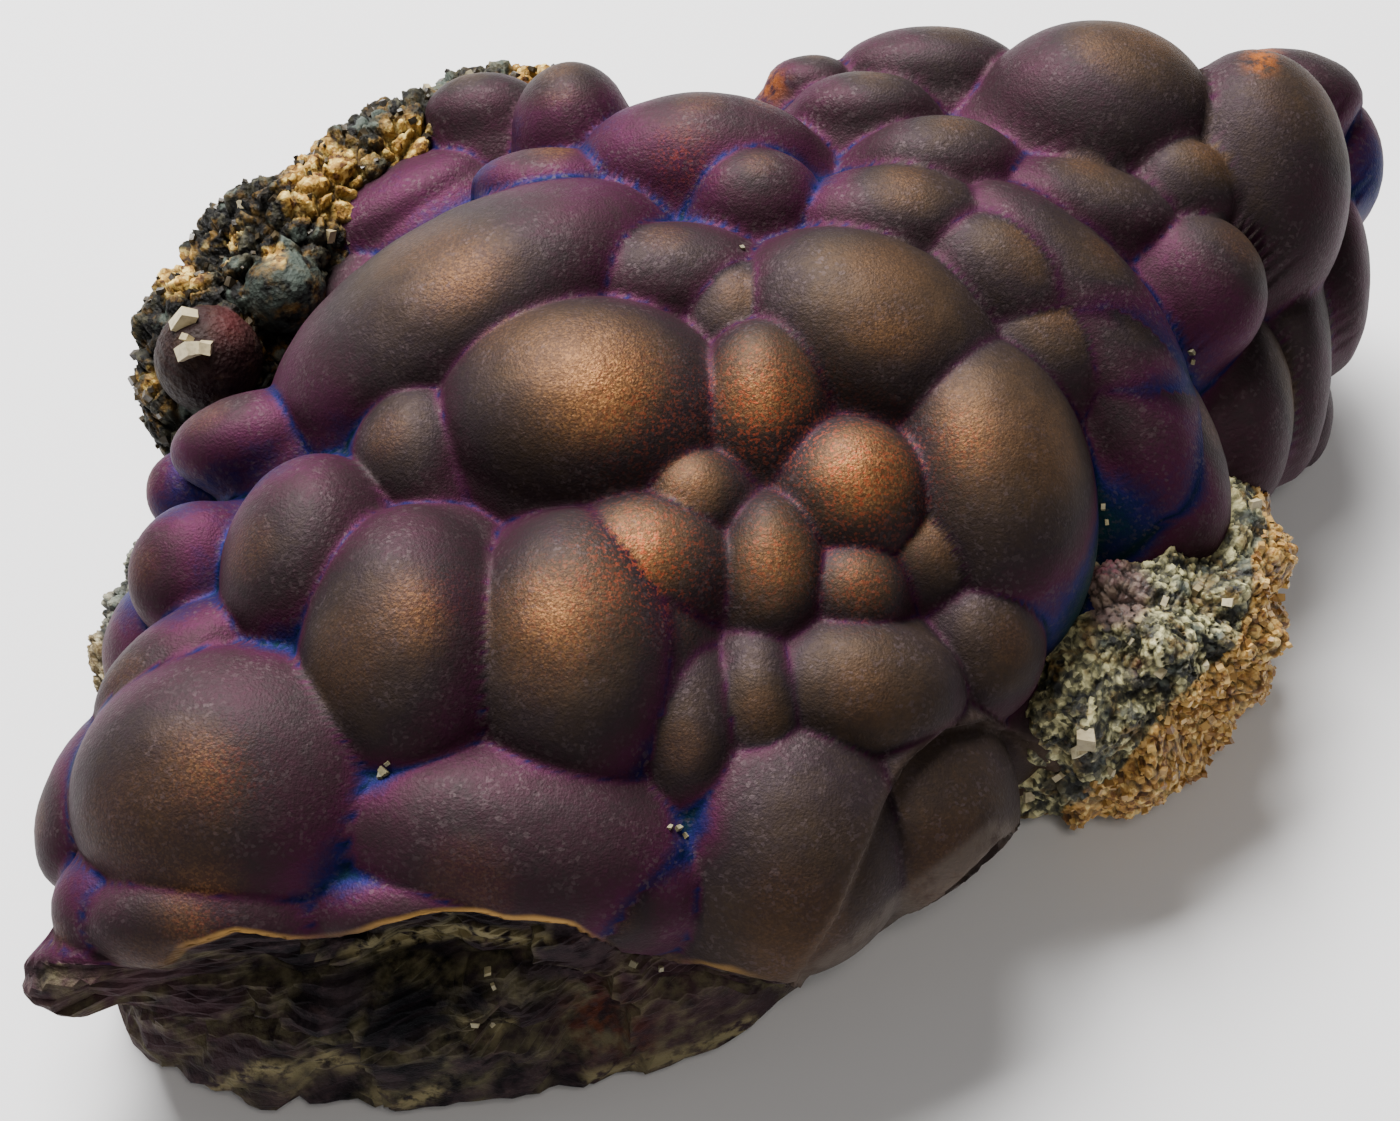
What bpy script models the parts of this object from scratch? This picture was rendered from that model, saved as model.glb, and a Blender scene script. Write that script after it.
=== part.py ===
"""Tarnished botryoidal chalcopyrite with matrix rock on two sides.

The ore is one body of rounded lobes grown on a loaf-shaped core, broken off at the front, the lower right and
underneath. Every surface point lies on a growth line that starts on a flat disc inside the core and runs
outward, so the lobes, the core and the breaks are all lengths along the same lines.
Lengths are millimetres until a mesh is written in metres.
"""
import math

import bmesh
import bpy
import numpy as np

# Driving dimensions of the ore, millimetres
CORE_CENTRE = np.array([2.0, 8.0, 16.0])
CORE_ABOVE = 20.5
CORE_BELOW = 17.0
CORE_ROUND_ABOVE = 2.3
CORE_ROUND_BELOW = 5.0
CORE_SLOPE = 0.10
DISC_SHARE = np.array([0.70, 0.70, 0.0])
CREASE_DEPTH = 2.2
CREASE_BLEND = 0.5
SKIRT_SLOPE = 1.1
WALL_SLOPE = 2.0
LOBE_SPREAD = 1.36
LOBE_SUNK = 0.62
GAP = 0.5
ORE_CUTS = 46
ORE_TRIANGLE_SHARE = 0.225
METRE = 0.001

# The core's outline seen from above, millimetres, counterclockwise from the front left
CORE_PLAN = [
    (-52, -35), (-40, -41), (-18, -41), (-4, -38), (6, -34), (15, -26), (24, -16), (30, -8), (35, 2),
    (43, 13), (51, 24), (57, 38), (55, 47), (43, 51), (18, 48), (2, 46), (-10, 44), (-22, 37),
    (-31, 28), (-38, 16), (-41, 5), (-45, -8), (-47, -20),
]

# The view that the lobes were measured in: a 1400 by 1121 photograph taken from above the front
VIEW_CENTRE = (704.0, 560.0)
VIEW_FOCAL = 70 / 36 * 1400
VIEW_TILT = math.radians(55)
VIEW_DISTANCE = 219.5
VIEW_TARGET = np.array([0.0, 0.0, 20.0])
VIEW_RIGHT = np.array([1.0, 0.0, 0.0])
VIEW_UP = np.array([0.0, math.sin(VIEW_TILT), math.cos(VIEW_TILT)])
VIEW_BACK = np.array([0.0, -math.cos(VIEW_TILT), math.sin(VIEW_TILT)])
VIEW_EYE = VIEW_TARGET + VIEW_BACK * VIEW_DISTANCE

# Each lobe: pixel of its centre, half width and half height in pixels, turn in degrees,
# rise above the core in millimetres, and how domed it is
LOBES = {
    "crown": (583, 395, 118, 98, 0, 1.0, 1.0),
    "ridge_left": (445, 303, 165, 84, 31, 0.0, 1.0),
    "wedge": (415, 450, 54, 66, 0, -1.0, 1.0),
    "egg": (298, 545, 66, 88, -10, 1.0, 1.0),
    "cheek": (407, 632, 86, 120, 0, 0.8, 1.0),
    "belly": (600, 645, 108, 140, 0, -2.0, 1.0),
    "belly_top": (648, 556, 72, 62, -10, 0.6, 0.9),
    "belly_left": (578, 640, 92, 122, 0, 0.8, 0.9),
    "button": (695, 492, 46, 44, 0, 0.0, 0.9),
    "bead_centre": (762, 396, 54, 76, 0, 0.5, 0.9),
    "brow": (868, 322, 112, 84, -25, 0.3, 1.0),
    "bead_gold": (856, 484, 62, 62, 0, 0.6, 0.9),
    "shoulder": (1008, 482, 82, 124, 8, 0.3, 1.0),
    "bead_low": (774, 568, 44, 68, 0, 0.0, 0.9),
    "bead_small": (858, 587, 44, 42, 0, 0.0, 0.9),
    "fill_shoulder": (930, 555, 55, 52, 0, -1.5, 1.0),
    "bead_edge": (993, 645, 52, 60, 0, 0.0, 0.9),
    "pad_right": (866, 688, 92, 62, 0, 0.0, 0.9),
    "bead_narrow": (762, 700, 42, 64, 0, -0.5, 0.9),
    "pad_narrow": (692, 728, 46, 78, 0, -0.5, 0.9),
    "knee": (812, 862, 106, 112, 0, 0.0, 0.9),
    "pad_front": (528, 838, 152, 84, -8, 0.0, 0.8),
    "pad_front_end": (635, 880, 66, 56, 0, 0.0, 0.8),
    "dome_left": (236, 768, 134, 112, 0, 0.0, 0.9),
    "front_left": (222, 915, 112, 52, 0, -0.8, 1.0),
    "front_right": (455, 912, 116, 50, 0, -0.5, 0.9),
    "side_upper": (92, 790, 38, 70, -22, 0.0, 1.0),
    "side_lower": (98, 905, 42, 46, 0, 0.0, 1.0),
    "tip": (86, 970, 58, 34, 12, 0.0, 1.0),
    "band_1": (172, 662, 78, 44, 35, 0.0, 0.9),
    "band_2": (192, 566, 54, 54, 0, 0.0, 0.8),
    "band_3": (200, 492, 38, 34, 0, 0.0, 0.9),
    "band_4": (250, 435, 68, 38, 10, 0.0, 0.9),
    "band_5": (400, 215, 84, 36, 28, -1.0, 1.0),
    "ball_back": (570, 126, 44, 52, 0, 0.0, 1.0),
    "ball_back_low": (548, 178, 60, 30, 0, 0.5, 1.0),
    "ball_back_left": (488, 120, 46, 34, 0, -0.5, 0.9),
    "back_red": (700, 152, 92, 58, 0, 0.0, 0.8),
    "back_red_bead": (756, 192, 50, 44, 0, 0.5, 0.8),
    "back_arch": (668, 272, 86, 50, 0, -0.3, 0.9),
    "fill_arch": (738, 318, 50, 58, 0, -1.0, 0.9),
    "back_brown": (890, 212, 78, 46, 0, 0.0, 0.9),
    "back_brown_top": (938, 156, 62, 40, 0, 0.0, 0.9),
    "back_bead": (862, 106, 54, 32, 0, 0.0, 0.9),
    "back_rim_bead": (810, 84, 34, 24, 0, 0.0, 1.0),
    "back_rim": (928, 70, 68, 36, 0, 0.0, 0.9),
    "dome_back": (1097, 102, 88, 76, 0, 0.0, 0.9),
    "low_back": (1070, 200, 86, 40, -8, -1.5, 0.8),
    "low_right": (1008, 272, 72, 50, -30, 0.0, 0.8),
    "low_right_end": (1045, 352, 62, 56, -30, -1.2, 0.8),
    "ridge_upper": (1095, 290, 112, 46, -46, 0.0, 0.8),
    "ridge_middle": (1135, 350, 110, 48, -58, 0.0, 0.8),
    "ridge_low": (1160, 405, 104, 48, -64, 0.0, 0.8),
    "ridge_lower": (1180, 455, 90, 48, -66, 0.0, 0.8),
    "bead_right": (1182, 186, 44, 44, 0, 0.0, 0.8),
    "dome_right": (1268, 172, 70, 100, 0, 0.0, 0.9),
    "rim_right": (1275, 98, 62, 36, 0, 0.0, 1.0),
    "edge_upper": (1340, 166, 30, 48, 0, 0.0, 1.0),
    "edge_middle": (1330, 282, 28, 66, 0, 0.0, 1.0),
    "bead_valley": (1206, 288, 56, 58, 0, 0.0, 0.8),
    "bead_tall": (1242, 420, 42, 76, 0, 0.0, 0.9),
    "bead_outer": (1286, 365, 35, 88, 0, 0.0, 0.9),
    "edge_lower": (1296, 412, 26, 42, 0, 0.0, 1.0),
    "shell_face": (930, 820, 92, 105, 35, 0.0, 0.9),
}
DIPS = {"valley": (1100, 580, 7.0, 3.5), "pocket": (1245, 275, 5.0, 2.5), "saddle": (1170, 330, 5.0, 1.5)}
# Lobes on the sides that the photograph doesn't show: how many tries, spacing and radii in millimetres
SIDE_TRIES = 260
SIDE_SPACING = 8.5
SIDE_RADIUS = (5.5, 8.0)
SIDE_LOWEST = 9.0
SIDE_SEED = 71

# Breaks: a point of the broken face, its outward normal, and how rough it is, millimetres
BREAKS = {
    "front_right": ((15.3, -25.9, 9), (0.60, -0.67, -0.42), 0.5),
    "left_tip": ((-52.5, -33, 11), (-0.76, -0.12, -0.62), 0.8),
}
# The lip of the broken front in pixels of the view, and its hollows: pixel, radius in pixels, depth in millimetres
LIP = [(20, 965), (160, 968), (180, 948), (230, 930), (310, 941), (345, 936), (390, 920), (450, 911), (570, 924),
       (620, 950), (700, 965), (790, 985), (825, 1000), (900, 935), (1000, 842), (1060, 800)]
LIP_STEP = 0.9
LIP_HOLLOWS = {
    "dark_hollow": (405, 985, 72, 3.0), "notch": (333, 945, 20, 1.0), "right_hollow": (560, 1008, 42, 1.6),
    "left_hollow": (235, 1005, 50, 1.0), "low_shelf": (470, 1060, 60, -1.0), "left_shelf": (290, 1080, 55, -0.8),
}
FOOT_CENTRE = (0.0, 10.0)
FOOT_HALF = (30.0, 24.0)
UNDER_RISE = 5.0
UNDER_ROUGH = 1.2

# Matrix rock, millimetres
BLOCK_CENTRE = np.array([35.8, -1.2, 11.0])
BLOCK_HALF = np.array([18.0, 9.4, 10.0])
BLOCK_TURN = math.radians(57)
BLOCK_ROUND = 2.8
BLOCK_ROUGH = 1.3
BLOCK_LOWEST = 0.8
CRUST_PATH = [(-44, 13, 14), (-42, 22, 19), (-35, 32, 22), (-27, 40, 23), (-18, 46, 23), (-9, 49, 22)]
CRUST_RADIUS = [5.5, 7.5, 7.0, 6.2, 5.6, 4.0]
CRUST_BALLS = {"ball_dark": ((-41.0, 18.5, 24.5), 5.4), "ball_green": ((-35.5, 27.0, 27.0), 4.2)}
RIM_PATH = [(-43.0, 12, 14), (-45.0, 4, 13.5), (-47.2, -4, 12.5), (-48.6, -9, 11.5)]
RIM_RADIUS = [1.9, 2.6, 2.5, 1.8]
CRUST_ROUGH = 1.1


def unit(vectors):
    return vectors / np.linalg.norm(vectors, axis=-1, keepdims=True)


def smoothstep(low, high, value):
    share = np.clip((value - low) / (high - low), 0.0, 1.0)
    return share * share * (3.0 - 2.0 * share)


def lattice_value(cell, seed):
    """One repeatable value from -1 to 1 for each whole-numbered cell."""
    mix = cell[..., 0] * 374761393 + cell[..., 1] * 668265263 + cell[..., 2] * 1274126177 + seed * 974634777
    mix = (mix ^ (mix >> 13)) * 1103515245 & 0xFFFFFFFF
    mix = (mix ^ (mix >> 16)) * 69069 & 0xFFFFFFFF
    return (mix ^ (mix >> 15) & 0xFFFF) % 65536 / 32767.5 - 1.0


def noise(points, size, seed):
    """Smooth noise from -1 to 1: lattice values one size apart, blended in each direction."""
    scaled = points / size
    cell = np.floor(scaled).astype(np.int64)
    share = scaled - cell
    share = share * share * (3.0 - 2.0 * share)
    total = 0.0
    for corner in np.ndindex(2, 2, 2):
        weight = np.prod(np.where(np.array(corner) == 1, share, 1.0 - share), axis=-1)
        total = total + weight * lattice_value(cell + np.array(corner), seed)
    return total


def core_radius(angle):
    """Distance of the core's outline from its centre, rounded where the plan's points meet."""
    corners = np.array(CORE_PLAN, float) - CORE_CENTRE[:2]
    turn = np.arctan2(corners[:, 1], corners[:, 0])
    order = np.argsort(turn)
    reach = np.hypot(corners[:, 0], corners[:, 1])[order]
    fine = np.linspace(-math.pi, math.pi, 721)
    values = np.interp(fine, turn[order], reach, period=2 * math.pi)
    kernel = np.exp(-0.5 * (np.arange(-40, 41) / 11.0) ** 2)
    around = np.concatenate([values[-41:-1], values, values[1:41]])
    values = np.convolve(around, kernel / kernel.sum(), mode="valid")
    return np.interp(angle, fine, values)


def core(points):
    """1 on the core's surface and growing in step with distance from the centre."""
    offset = points - CORE_CENTRE
    flat = np.hypot(offset[..., 0], offset[..., 1]) / core_radius(np.arctan2(offset[..., 1], offset[..., 0]))
    level = offset[..., 2] - CORE_SLOPE * offset[..., 1]
    above = level > 0
    tall = np.where(above, level / CORE_ABOVE, -level / CORE_BELOW)
    power = np.where(above, CORE_ROUND_ABOVE, CORE_ROUND_BELOW)
    return (flat ** power + tall ** power) ** (1.0 / power)


def sight(pixel_x, pixel_y):
    return unit(-VIEW_BACK * VIEW_FOCAL + VIEW_RIGHT * (pixel_x - VIEW_CENTRE[0])
                + VIEW_UP * (VIEW_CENTRE[1] - pixel_y))


def seat(pixel_x, pixel_y):
    """Where the line of sight through a pixel first meets the core, or passes it closest."""
    along = np.linspace(VIEW_DISTANCE - 100.0, VIEW_DISTANCE + 100.0, 1601)
    line = VIEW_EYE + along[:, None] * sight(pixel_x, pixel_y)
    depth = core(line)
    inside = np.flatnonzero(depth <= 1.0)
    return line[inside[0] if len(inside) else int(np.argmin(depth))]


def seen_pixels(points):
    """Pixel of the photograph that each point falls on."""
    offset = points - VIEW_EYE
    scale = VIEW_FOCAL / -(offset @ VIEW_BACK)
    return np.stack([VIEW_CENTRE[0] + offset @ VIEW_RIGHT * scale, VIEW_CENTRE[1] - offset @ VIEW_UP * scale], -1)


def core_normal(place):
    """Outward normal of the core's level surface through a point."""
    steps = place + 0.05 * np.eye(3)
    return unit(core(steps) - core(place))


def seen_lobe(pixel_x, pixel_y, half_width, half_height, turn, rise, dome):
    """An ellipsoid whose part above the core fills this outline in the photograph: its centre and scaled axes.

    Where the core is seen at a slant, the cap above it lies off the ellipsoid's centre, so the centre is moved
    back against the slant.
    """
    line = sight(pixel_x, pixel_y)
    place = seat(pixel_x, pixel_y)
    width, height = LOBE_SPREAD * half_width, LOBE_SPREAD * half_height
    normal = core_normal(place)
    slant = LOBE_SUNK * max(np.dot(normal, -line), 0.0)
    line = sight(pixel_x - slant * np.dot(normal, VIEW_RIGHT) * width,
                 pixel_y + slant * np.dot(normal, VIEW_UP) * height)
    depth = dome * math.sqrt(width * height) * np.dot(place - VIEW_EYE, line) / VIEW_FOCAL
    centre = VIEW_EYE + line * (np.dot(place - VIEW_EYE, normal) / np.dot(line, normal))
    centre = centre + line * (LOBE_SUNK * depth - rise)
    scale = np.dot(centre - VIEW_EYE, line) / VIEW_FOCAL
    across = unit(VIEW_RIGHT - line * np.dot(VIEW_RIGHT, line))
    upward = np.cross(-line, across)
    cosine, sine = math.cos(math.radians(turn)), math.sin(math.radians(turn))
    axes = np.array([(across * cosine + upward * sine) / (width * scale),
                     (upward * cosine - across * sine) / (height * scale), -line / depth])
    return centre, axes


def growth_lines(directions):
    """Start and direction of the growth line for each direction from the core's centre."""
    size = np.array([54.0, 44.0, 20.0])
    outward = directions * size
    surface = outward / core(CORE_CENTRE + outward)[..., None]
    start = CORE_CENTRE + surface * DISC_SHARE
    along = surface * (1.0 - DISC_SHARE)
    return start, unit(along), np.linalg.norm(along, axis=-1)


def side_lobes(taken):
    """Lobes scattered with one seed over the sides that face away from the photograph's view."""
    random = np.random.default_rng(SIDE_SEED)
    tries = unit(random.normal(size=(SIDE_TRIES, 3)))
    radii = random.uniform(*SIDE_RADIUS, SIDE_TRIES)
    start, along, length = growth_lines(tries)
    places = start + along * length[:, None]
    lobes = []
    for place, line, radius in zip(places, along, radii):
        hidden = np.dot(unit(place - VIEW_EYE), line) > 0.05
        apart = all(np.linalg.norm(place - other) > SIDE_SPACING for other in taken)
        if place[2] > SIDE_LOWEST and hidden and apart:
            taken = taken + [place]
            lobes.append((place - line * radius * LOBE_SUNK, np.eye(3) / radius))
    return lobes


def blend_max(first, second, blend):
    """The larger of two lengths, with a small fillet where they cross."""
    near = np.maximum(blend - np.abs(first - second), 0.0) / blend
    return np.maximum(first, second) + near * near * blend / 4.0


def lobe_reach(start, along, centre, axes):
    """Length along each line to where it leaves the ellipsoid, or a large negative length."""
    step = along @ axes.T
    offset = (start - centre) @ axes.T
    square = (step * step).sum(-1)
    middle = (step * offset).sum(-1)
    rest = (offset * offset).sum(-1) - 1.0
    under_root = middle * middle - square * rest
    leaves = (np.sqrt(np.maximum(under_root, 0.0)) - middle) / np.maximum(square, 1e-9)
    return np.where(under_root > 0.0, leaves, -1e3)


def skirted_reach(start, along, surface, length, centre, axes):
    """Length along each line to where it leaves the lobe.

    Beside the lobe the length falls off gently below the core's surface, and steeply where the lobe stands out
    past the core, so that neighbours meet in valleys.
    """
    step = along @ axes.T
    offset = (start - centre) @ axes.T
    square = np.maximum((step * step).sum(-1), 1e-9)
    middle = (step * offset).sum(-1) / square
    miss = (offset * offset).sum(-1) - middle * middle * square
    cap = np.where(miss < 1.0, np.sqrt(np.maximum(1.0 - miss, 0.0) / square) - middle, -1e3)
    away = surface - centre
    share = np.linalg.norm(away @ axes.T, axis=-1)
    outside = np.linalg.norm(away, axis=-1) * np.maximum(1.0 - 1.0 / np.maximum(share, 1e-6), 0.0)
    wide = 3.0 / np.linalg.norm(axes, axis=-1).sum()
    wall = np.where(middle < 0.0, -middle - WALL_SLOPE * wide * np.maximum(np.sqrt(miss) - 1.0, 0.0), -1e3)
    wall = np.where(miss < 1.0, -1e3, wall)
    return np.maximum(cap, np.maximum(wall, length - SKIRT_SLOPE * outside))


def grown_length(start, along, surface, length, floor, lobes):
    """Length along each line to the outermost of the floor and the lobes."""
    total = length - floor
    for centre, axes in lobes:
        total = blend_max(total, skirted_reach(start, along, surface, length, centre, axes), CREASE_BLEND)
    return total


def break_length(start, along, point, normal, rough, seed):
    """Length along each line to a rough broken face."""
    facing = along @ unit(np.array(normal))
    outward = facing > 1e-3
    facing = np.where(outward, facing, 1.0)
    base = ((np.array(point) - start) @ unit(np.array(normal))) / facing
    length = base
    for _ in range(3):
        place = start + along * length[:, None]
        offset = rough * (noise(place, 7.0, seed) + 0.5 * noise(place, 3.0, seed + 1))
        length = base + offset / np.maximum(facing, 0.35)
    return np.where(outward, length, 1e3)


def side_share(along):
    """0 on growth lines that head for the flat foot, 1 on those that leave through the sides or the top."""
    return smoothstep(-0.92, -0.45, along[:, 2])


def lip_cut(skin, along):
    """How deep the front is broken away below its lip."""
    pixels = seen_pixels(skin)
    lip = np.array(LIP, float)
    below = pixels[:, 1] - np.interp(pixels[:, 0], lip[:, 0], lip[:, 1])
    below = np.where(along[:, 1] < 0.2, below, 0.0)
    cut = LIP_STEP * smoothstep(0.0, 8.0, below)
    for pixel_x, pixel_y, radius, depth in LIP_HOLLOWS.values():
        away = np.linalg.norm(pixels - (pixel_x, pixel_y), axis=-1) / radius
        cut = cut + depth * np.exp(-away * away) * smoothstep(0.0, 10.0, below)
    lumps = 0.9 * noise(skin, 7.0, 72) + 0.6 * noise(skin, 3.4, 73)
    return (cut + lumps * smoothstep(10.0, 60.0, below)) * side_share(along)


def underside_length(start, along):
    """Length to the broken underside: flat on the ground in the middle, rising to its edges."""
    downward = along[:, 2] < -1e-3
    slope = np.where(downward, along[:, 2], -1.0)
    height = np.zeros(len(along))
    for _ in range(3):
        place = start + along * ((height - start[:, 2]) / slope)[:, None]
        away = np.hypot((place[:, 0] - FOOT_CENTRE[0]) / FOOT_HALF[0], (place[:, 1] - FOOT_CENTRE[1]) / FOOT_HALF[1])
        height = UNDER_RISE * smoothstep(0.75, 1.9, away) + UNDER_ROUGH * (noise(place, 6.0, 31) - 1.0)
        height = np.maximum(height, 0.0)
    return np.where(downward, (height - start[:, 2]) / slope, 1e3)


def ore_lobes():
    seen = [seen_lobe(*measures) for measures in LOBES.values()]
    return seen + side_lobes([seat(measures[0], measures[1]) for measures in LOBES.values()])


def ore_points(directions):
    """The ore's surface in the given directions."""
    start, along, length = growth_lines(directions)
    surface = start + along * length[:, None]
    floor = CREASE_DEPTH * side_share(along)
    for pixel_x, pixel_y, radius, depth in DIPS.values():
        away = np.linalg.norm(surface - seat(pixel_x, pixel_y), axis=-1) / radius
        floor = floor + depth * np.exp(-away * away)
    grown = grown_length(start, along, surface, length, floor, ore_lobes())
    grown = grown - lip_cut(start + along * grown[:, None], along)
    for seed, (point, normal, rough) in enumerate(BREAKS.values()):
        grown = np.minimum(grown, break_length(start, along, point, normal, rough, 12 + seed))
    grown = np.minimum(grown, underside_length(start, along))
    return start + along * grown[:, None]


def block_points(directions):
    """The matrix block: a blunt rounded box along the ore's right edge, roughened."""
    size = (np.abs(directions / BLOCK_HALF) ** BLOCK_ROUND).sum(-1) ** (-1.0 / BLOCK_ROUND)
    local = directions * size[:, None]
    cosine, sine = math.cos(BLOCK_TURN), math.sin(BLOCK_TURN)
    turned = np.stack([local[:, 0] * cosine - local[:, 1] * sine,
                       local[:, 0] * sine + local[:, 1] * cosine, local[:, 2]], -1)
    rough = BLOCK_ROUGH * (noise(turned, 7.0, 51) + 0.6 * noise(turned, 3.2, 52))
    placed = BLOCK_CENTRE + turned + unit(turned) * rough[:, None]
    placed[:, 2] = np.maximum(placed[:, 2], BLOCK_LOWEST)
    return placed


def path_points(directions, path, radii, balls, seed):
    """A rough vein along a path: the sphere's height runs along the path, its rings go round it."""
    path, radii = np.array(path, float), np.array(radii, float)
    run = np.concatenate([[0.0], np.cumsum(np.linalg.norm(np.diff(path, axis=0), axis=-1))])
    along = (directions[:, 2] + 1.0) * 0.5 * run[-1]
    centre = np.stack([np.interp(along, run, path[:, axis]) for axis in range(3)], -1)
    ahead = np.stack([np.interp(along + 1.5, run, path[:, axis]) for axis in range(3)], -1)
    behind = np.stack([np.interp(along - 1.5, run, path[:, axis]) for axis in range(3)], -1)
    tangent = unit(ahead - behind)
    side = unit(np.cross(tangent, np.array([0.0, 0.0, 1.0])))
    rise = np.cross(side, tangent)
    ring = np.hypot(directions[:, 0], directions[:, 1])
    blunt = np.maximum(1.0 - np.abs(directions[:, 2]) ** 3, 0.0) ** (1.0 / 3.0)
    outward = (side * directions[:, :1] + rise * directions[:, 1:2]) / np.maximum(ring, 1e-6)[:, None]
    surface = centre + outward * (np.interp(along, run, radii) * blunt)[:, None]
    rough = CRUST_ROUGH * (noise(surface, 4.5, seed) + 0.5 * noise(surface, 2.2, seed + 1)) * blunt
    length = np.interp(along, run, radii) * blunt + rough
    for ball_centre, radius in balls.values():
        reach = lobe_reach(centre, outward, np.array(ball_centre), np.eye(3) / radius)
        length = np.where(blunt > 0.5, np.maximum(length, reach), length)
    return centre + outward * length[:, None]


def material(name, colour, roughness, metallic):
    new = bpy.data.materials.new(name)
    new.use_nodes = True
    shader = new.node_tree.nodes["Principled BSDF"]
    shader.inputs["Base Color"].default_value = (*colour, 1.0)
    shader.inputs["Roughness"].default_value = roughness
    shader.inputs["Metallic"].default_value = metallic
    new.diffuse_color = (*colour, 1.0)
    return new


def new_object(name, mesh, collection, look=None):
    new = bpy.data.objects.new(name, mesh)
    if look:
        mesh.materials.append(look)
    collection.objects.link(new)
    return new


def shaped_mesh(name, start_form, shape):
    """A closed mesh from a primitive whose points a function places."""
    form = bmesh.new()
    start_form(form)
    bmesh.ops.triangulate(form, faces=form.faces)
    directions = unit(np.array([vertex.co[:] for vertex in form.verts]))
    placed = shape(directions) * METRE
    for vertex, place in zip(form.verts, placed):
        vertex.co = place
    bmesh.ops.recalc_face_normals(form, faces=form.faces)
    mesh = bpy.data.meshes.new(name)
    form.to_mesh(mesh)
    form.free()
    return mesh


def cube_form(form):
    """A cube cut into a grid on each face, its points spaced evenly as angles."""
    bmesh.ops.create_cube(form, size=2.0)
    bmesh.ops.subdivide_edges(form, edges=form.edges, cuts=ORE_CUTS, use_grid_fill=True)
    for vertex in form.verts:
        vertex.co = [math.tan(value * math.pi / 4.0) for value in vertex.co]


def ball_form(form):
    bmesh.ops.create_icosphere(form, subdivisions=4, radius=1.0)


def vein_form(segments, rings):
    return lambda form: bmesh.ops.create_uvsphere(form, u_segments=segments, v_segments=rings, radius=1.0)


def thin_out(target, share):
    """Keeps the given share of a piece's triangles, most of them where it curves."""
    decimate = target.modifiers.new("fewer_triangles", "DECIMATE")
    decimate.ratio = share
    decimate.use_collapse_triangulate = True


def grow_outward(target, distance):
    displace = target.modifiers.new("clearance", "DISPLACE")
    displace.direction = "NORMAL"
    displace.mid_level = 0.0
    displace.strength = distance * METRE


def cut_free(target, cutter):
    """Removes the ore's space, and a small gap round it, from a piece of rock."""
    boolean = target.modifiers.new("clear_of_ore", "BOOLEAN")
    boolean.operation = "DIFFERENCE"
    boolean.solver = "EXACT"
    boolean.use_self = True
    boolean.object = cutter


def ground_centre(objects):
    """Middle of the bottom of the box around all the pieces, in metres."""
    bpy.context.view_layer.update()
    graph = bpy.context.evaluated_depsgraph_get()
    corners = []
    for item in objects:
        mesh = item.evaluated_get(graph).to_mesh()
        corners += [vertex.co.copy() for vertex in mesh.vertices]
        item.evaluated_get(graph).to_mesh_clear()
    corners = np.array(corners)
    low, high = corners.min(0), corners.max(0)
    return np.array([(low[0] + high[0]) / 2.0, (low[1] + high[1]) / 2.0, low[2]])


def main():
    for item in list(bpy.data.objects):
        bpy.data.objects.remove(item, do_unlink=True)
    parts = bpy.data.collections.new("chalcopyrite")
    cutters = bpy.data.collections.new("cutters")
    bpy.context.scene.collection.children.link(parts)
    bpy.context.scene.collection.children.link(cutters)

    ore_look = material("tarnished_ore", (0.075, 0.035, 0.045), 0.42, 0.85)
    block_look = material("ochre_matrix", (0.30, 0.22, 0.11), 0.85, 0.0)
    crust_look = material("dark_matrix", (0.09, 0.07, 0.045), 0.80, 0.0)
    rim_look = material("pale_matrix", (0.33, 0.30, 0.20), 0.85, 0.0)

    ore = new_object("chalcopyrite_mass", shaped_mesh("chalcopyrite_mass", cube_form, ore_points), parts, ore_look)
    cutter = new_object("ore_clearance", ore.data.copy(), cutters)
    cutter.hide_render = True
    cutter.display_type = "WIRE"
    for item in (ore, cutter):
        thin_out(item, ORE_TRIANGLE_SHARE)
    grow_outward(cutter, GAP)

    block = new_object("matrix_block", shaped_mesh("matrix_block", ball_form, block_points), parts, block_look)
    crust_shape = lambda directions: path_points(directions, CRUST_PATH, CRUST_RADIUS, CRUST_BALLS, 61)
    crust = new_object("matrix_crust", shaped_mesh("matrix_crust", vein_form(18, 34), crust_shape), parts, crust_look)
    rim_shape = lambda directions: path_points(directions, RIM_PATH, RIM_RADIUS, {}, 65)
    rim = new_object("matrix_rim", shaped_mesh("matrix_rim", vein_form(12, 22), rim_shape), parts, rim_look)
    for piece in (block, crust, rim):
        cut_free(piece, cutter)

    shift = ground_centre([ore, block, crust, rim])
    for item in (ore, block, crust, rim, cutter):
        for vertex in item.data.vertices:
            vertex.co = [value - moved for value, moved in zip(vertex.co, shift)]
        item.data.update()


main()
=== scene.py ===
"""Looks of a tarnished botryoidal chalcopyrite specimen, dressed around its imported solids.

The ore, the rock block, the crust and the rim are grown again here on fine grids, with the same lobes,
breaks and paths as their solids, and get the fine relief, the grains and the tarnish that the solids leave
out.
Lengths are millimetres until a mesh is written in metres.
"""
import math

import bpy
import numpy as np
from mathutils import Matrix, Vector


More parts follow.
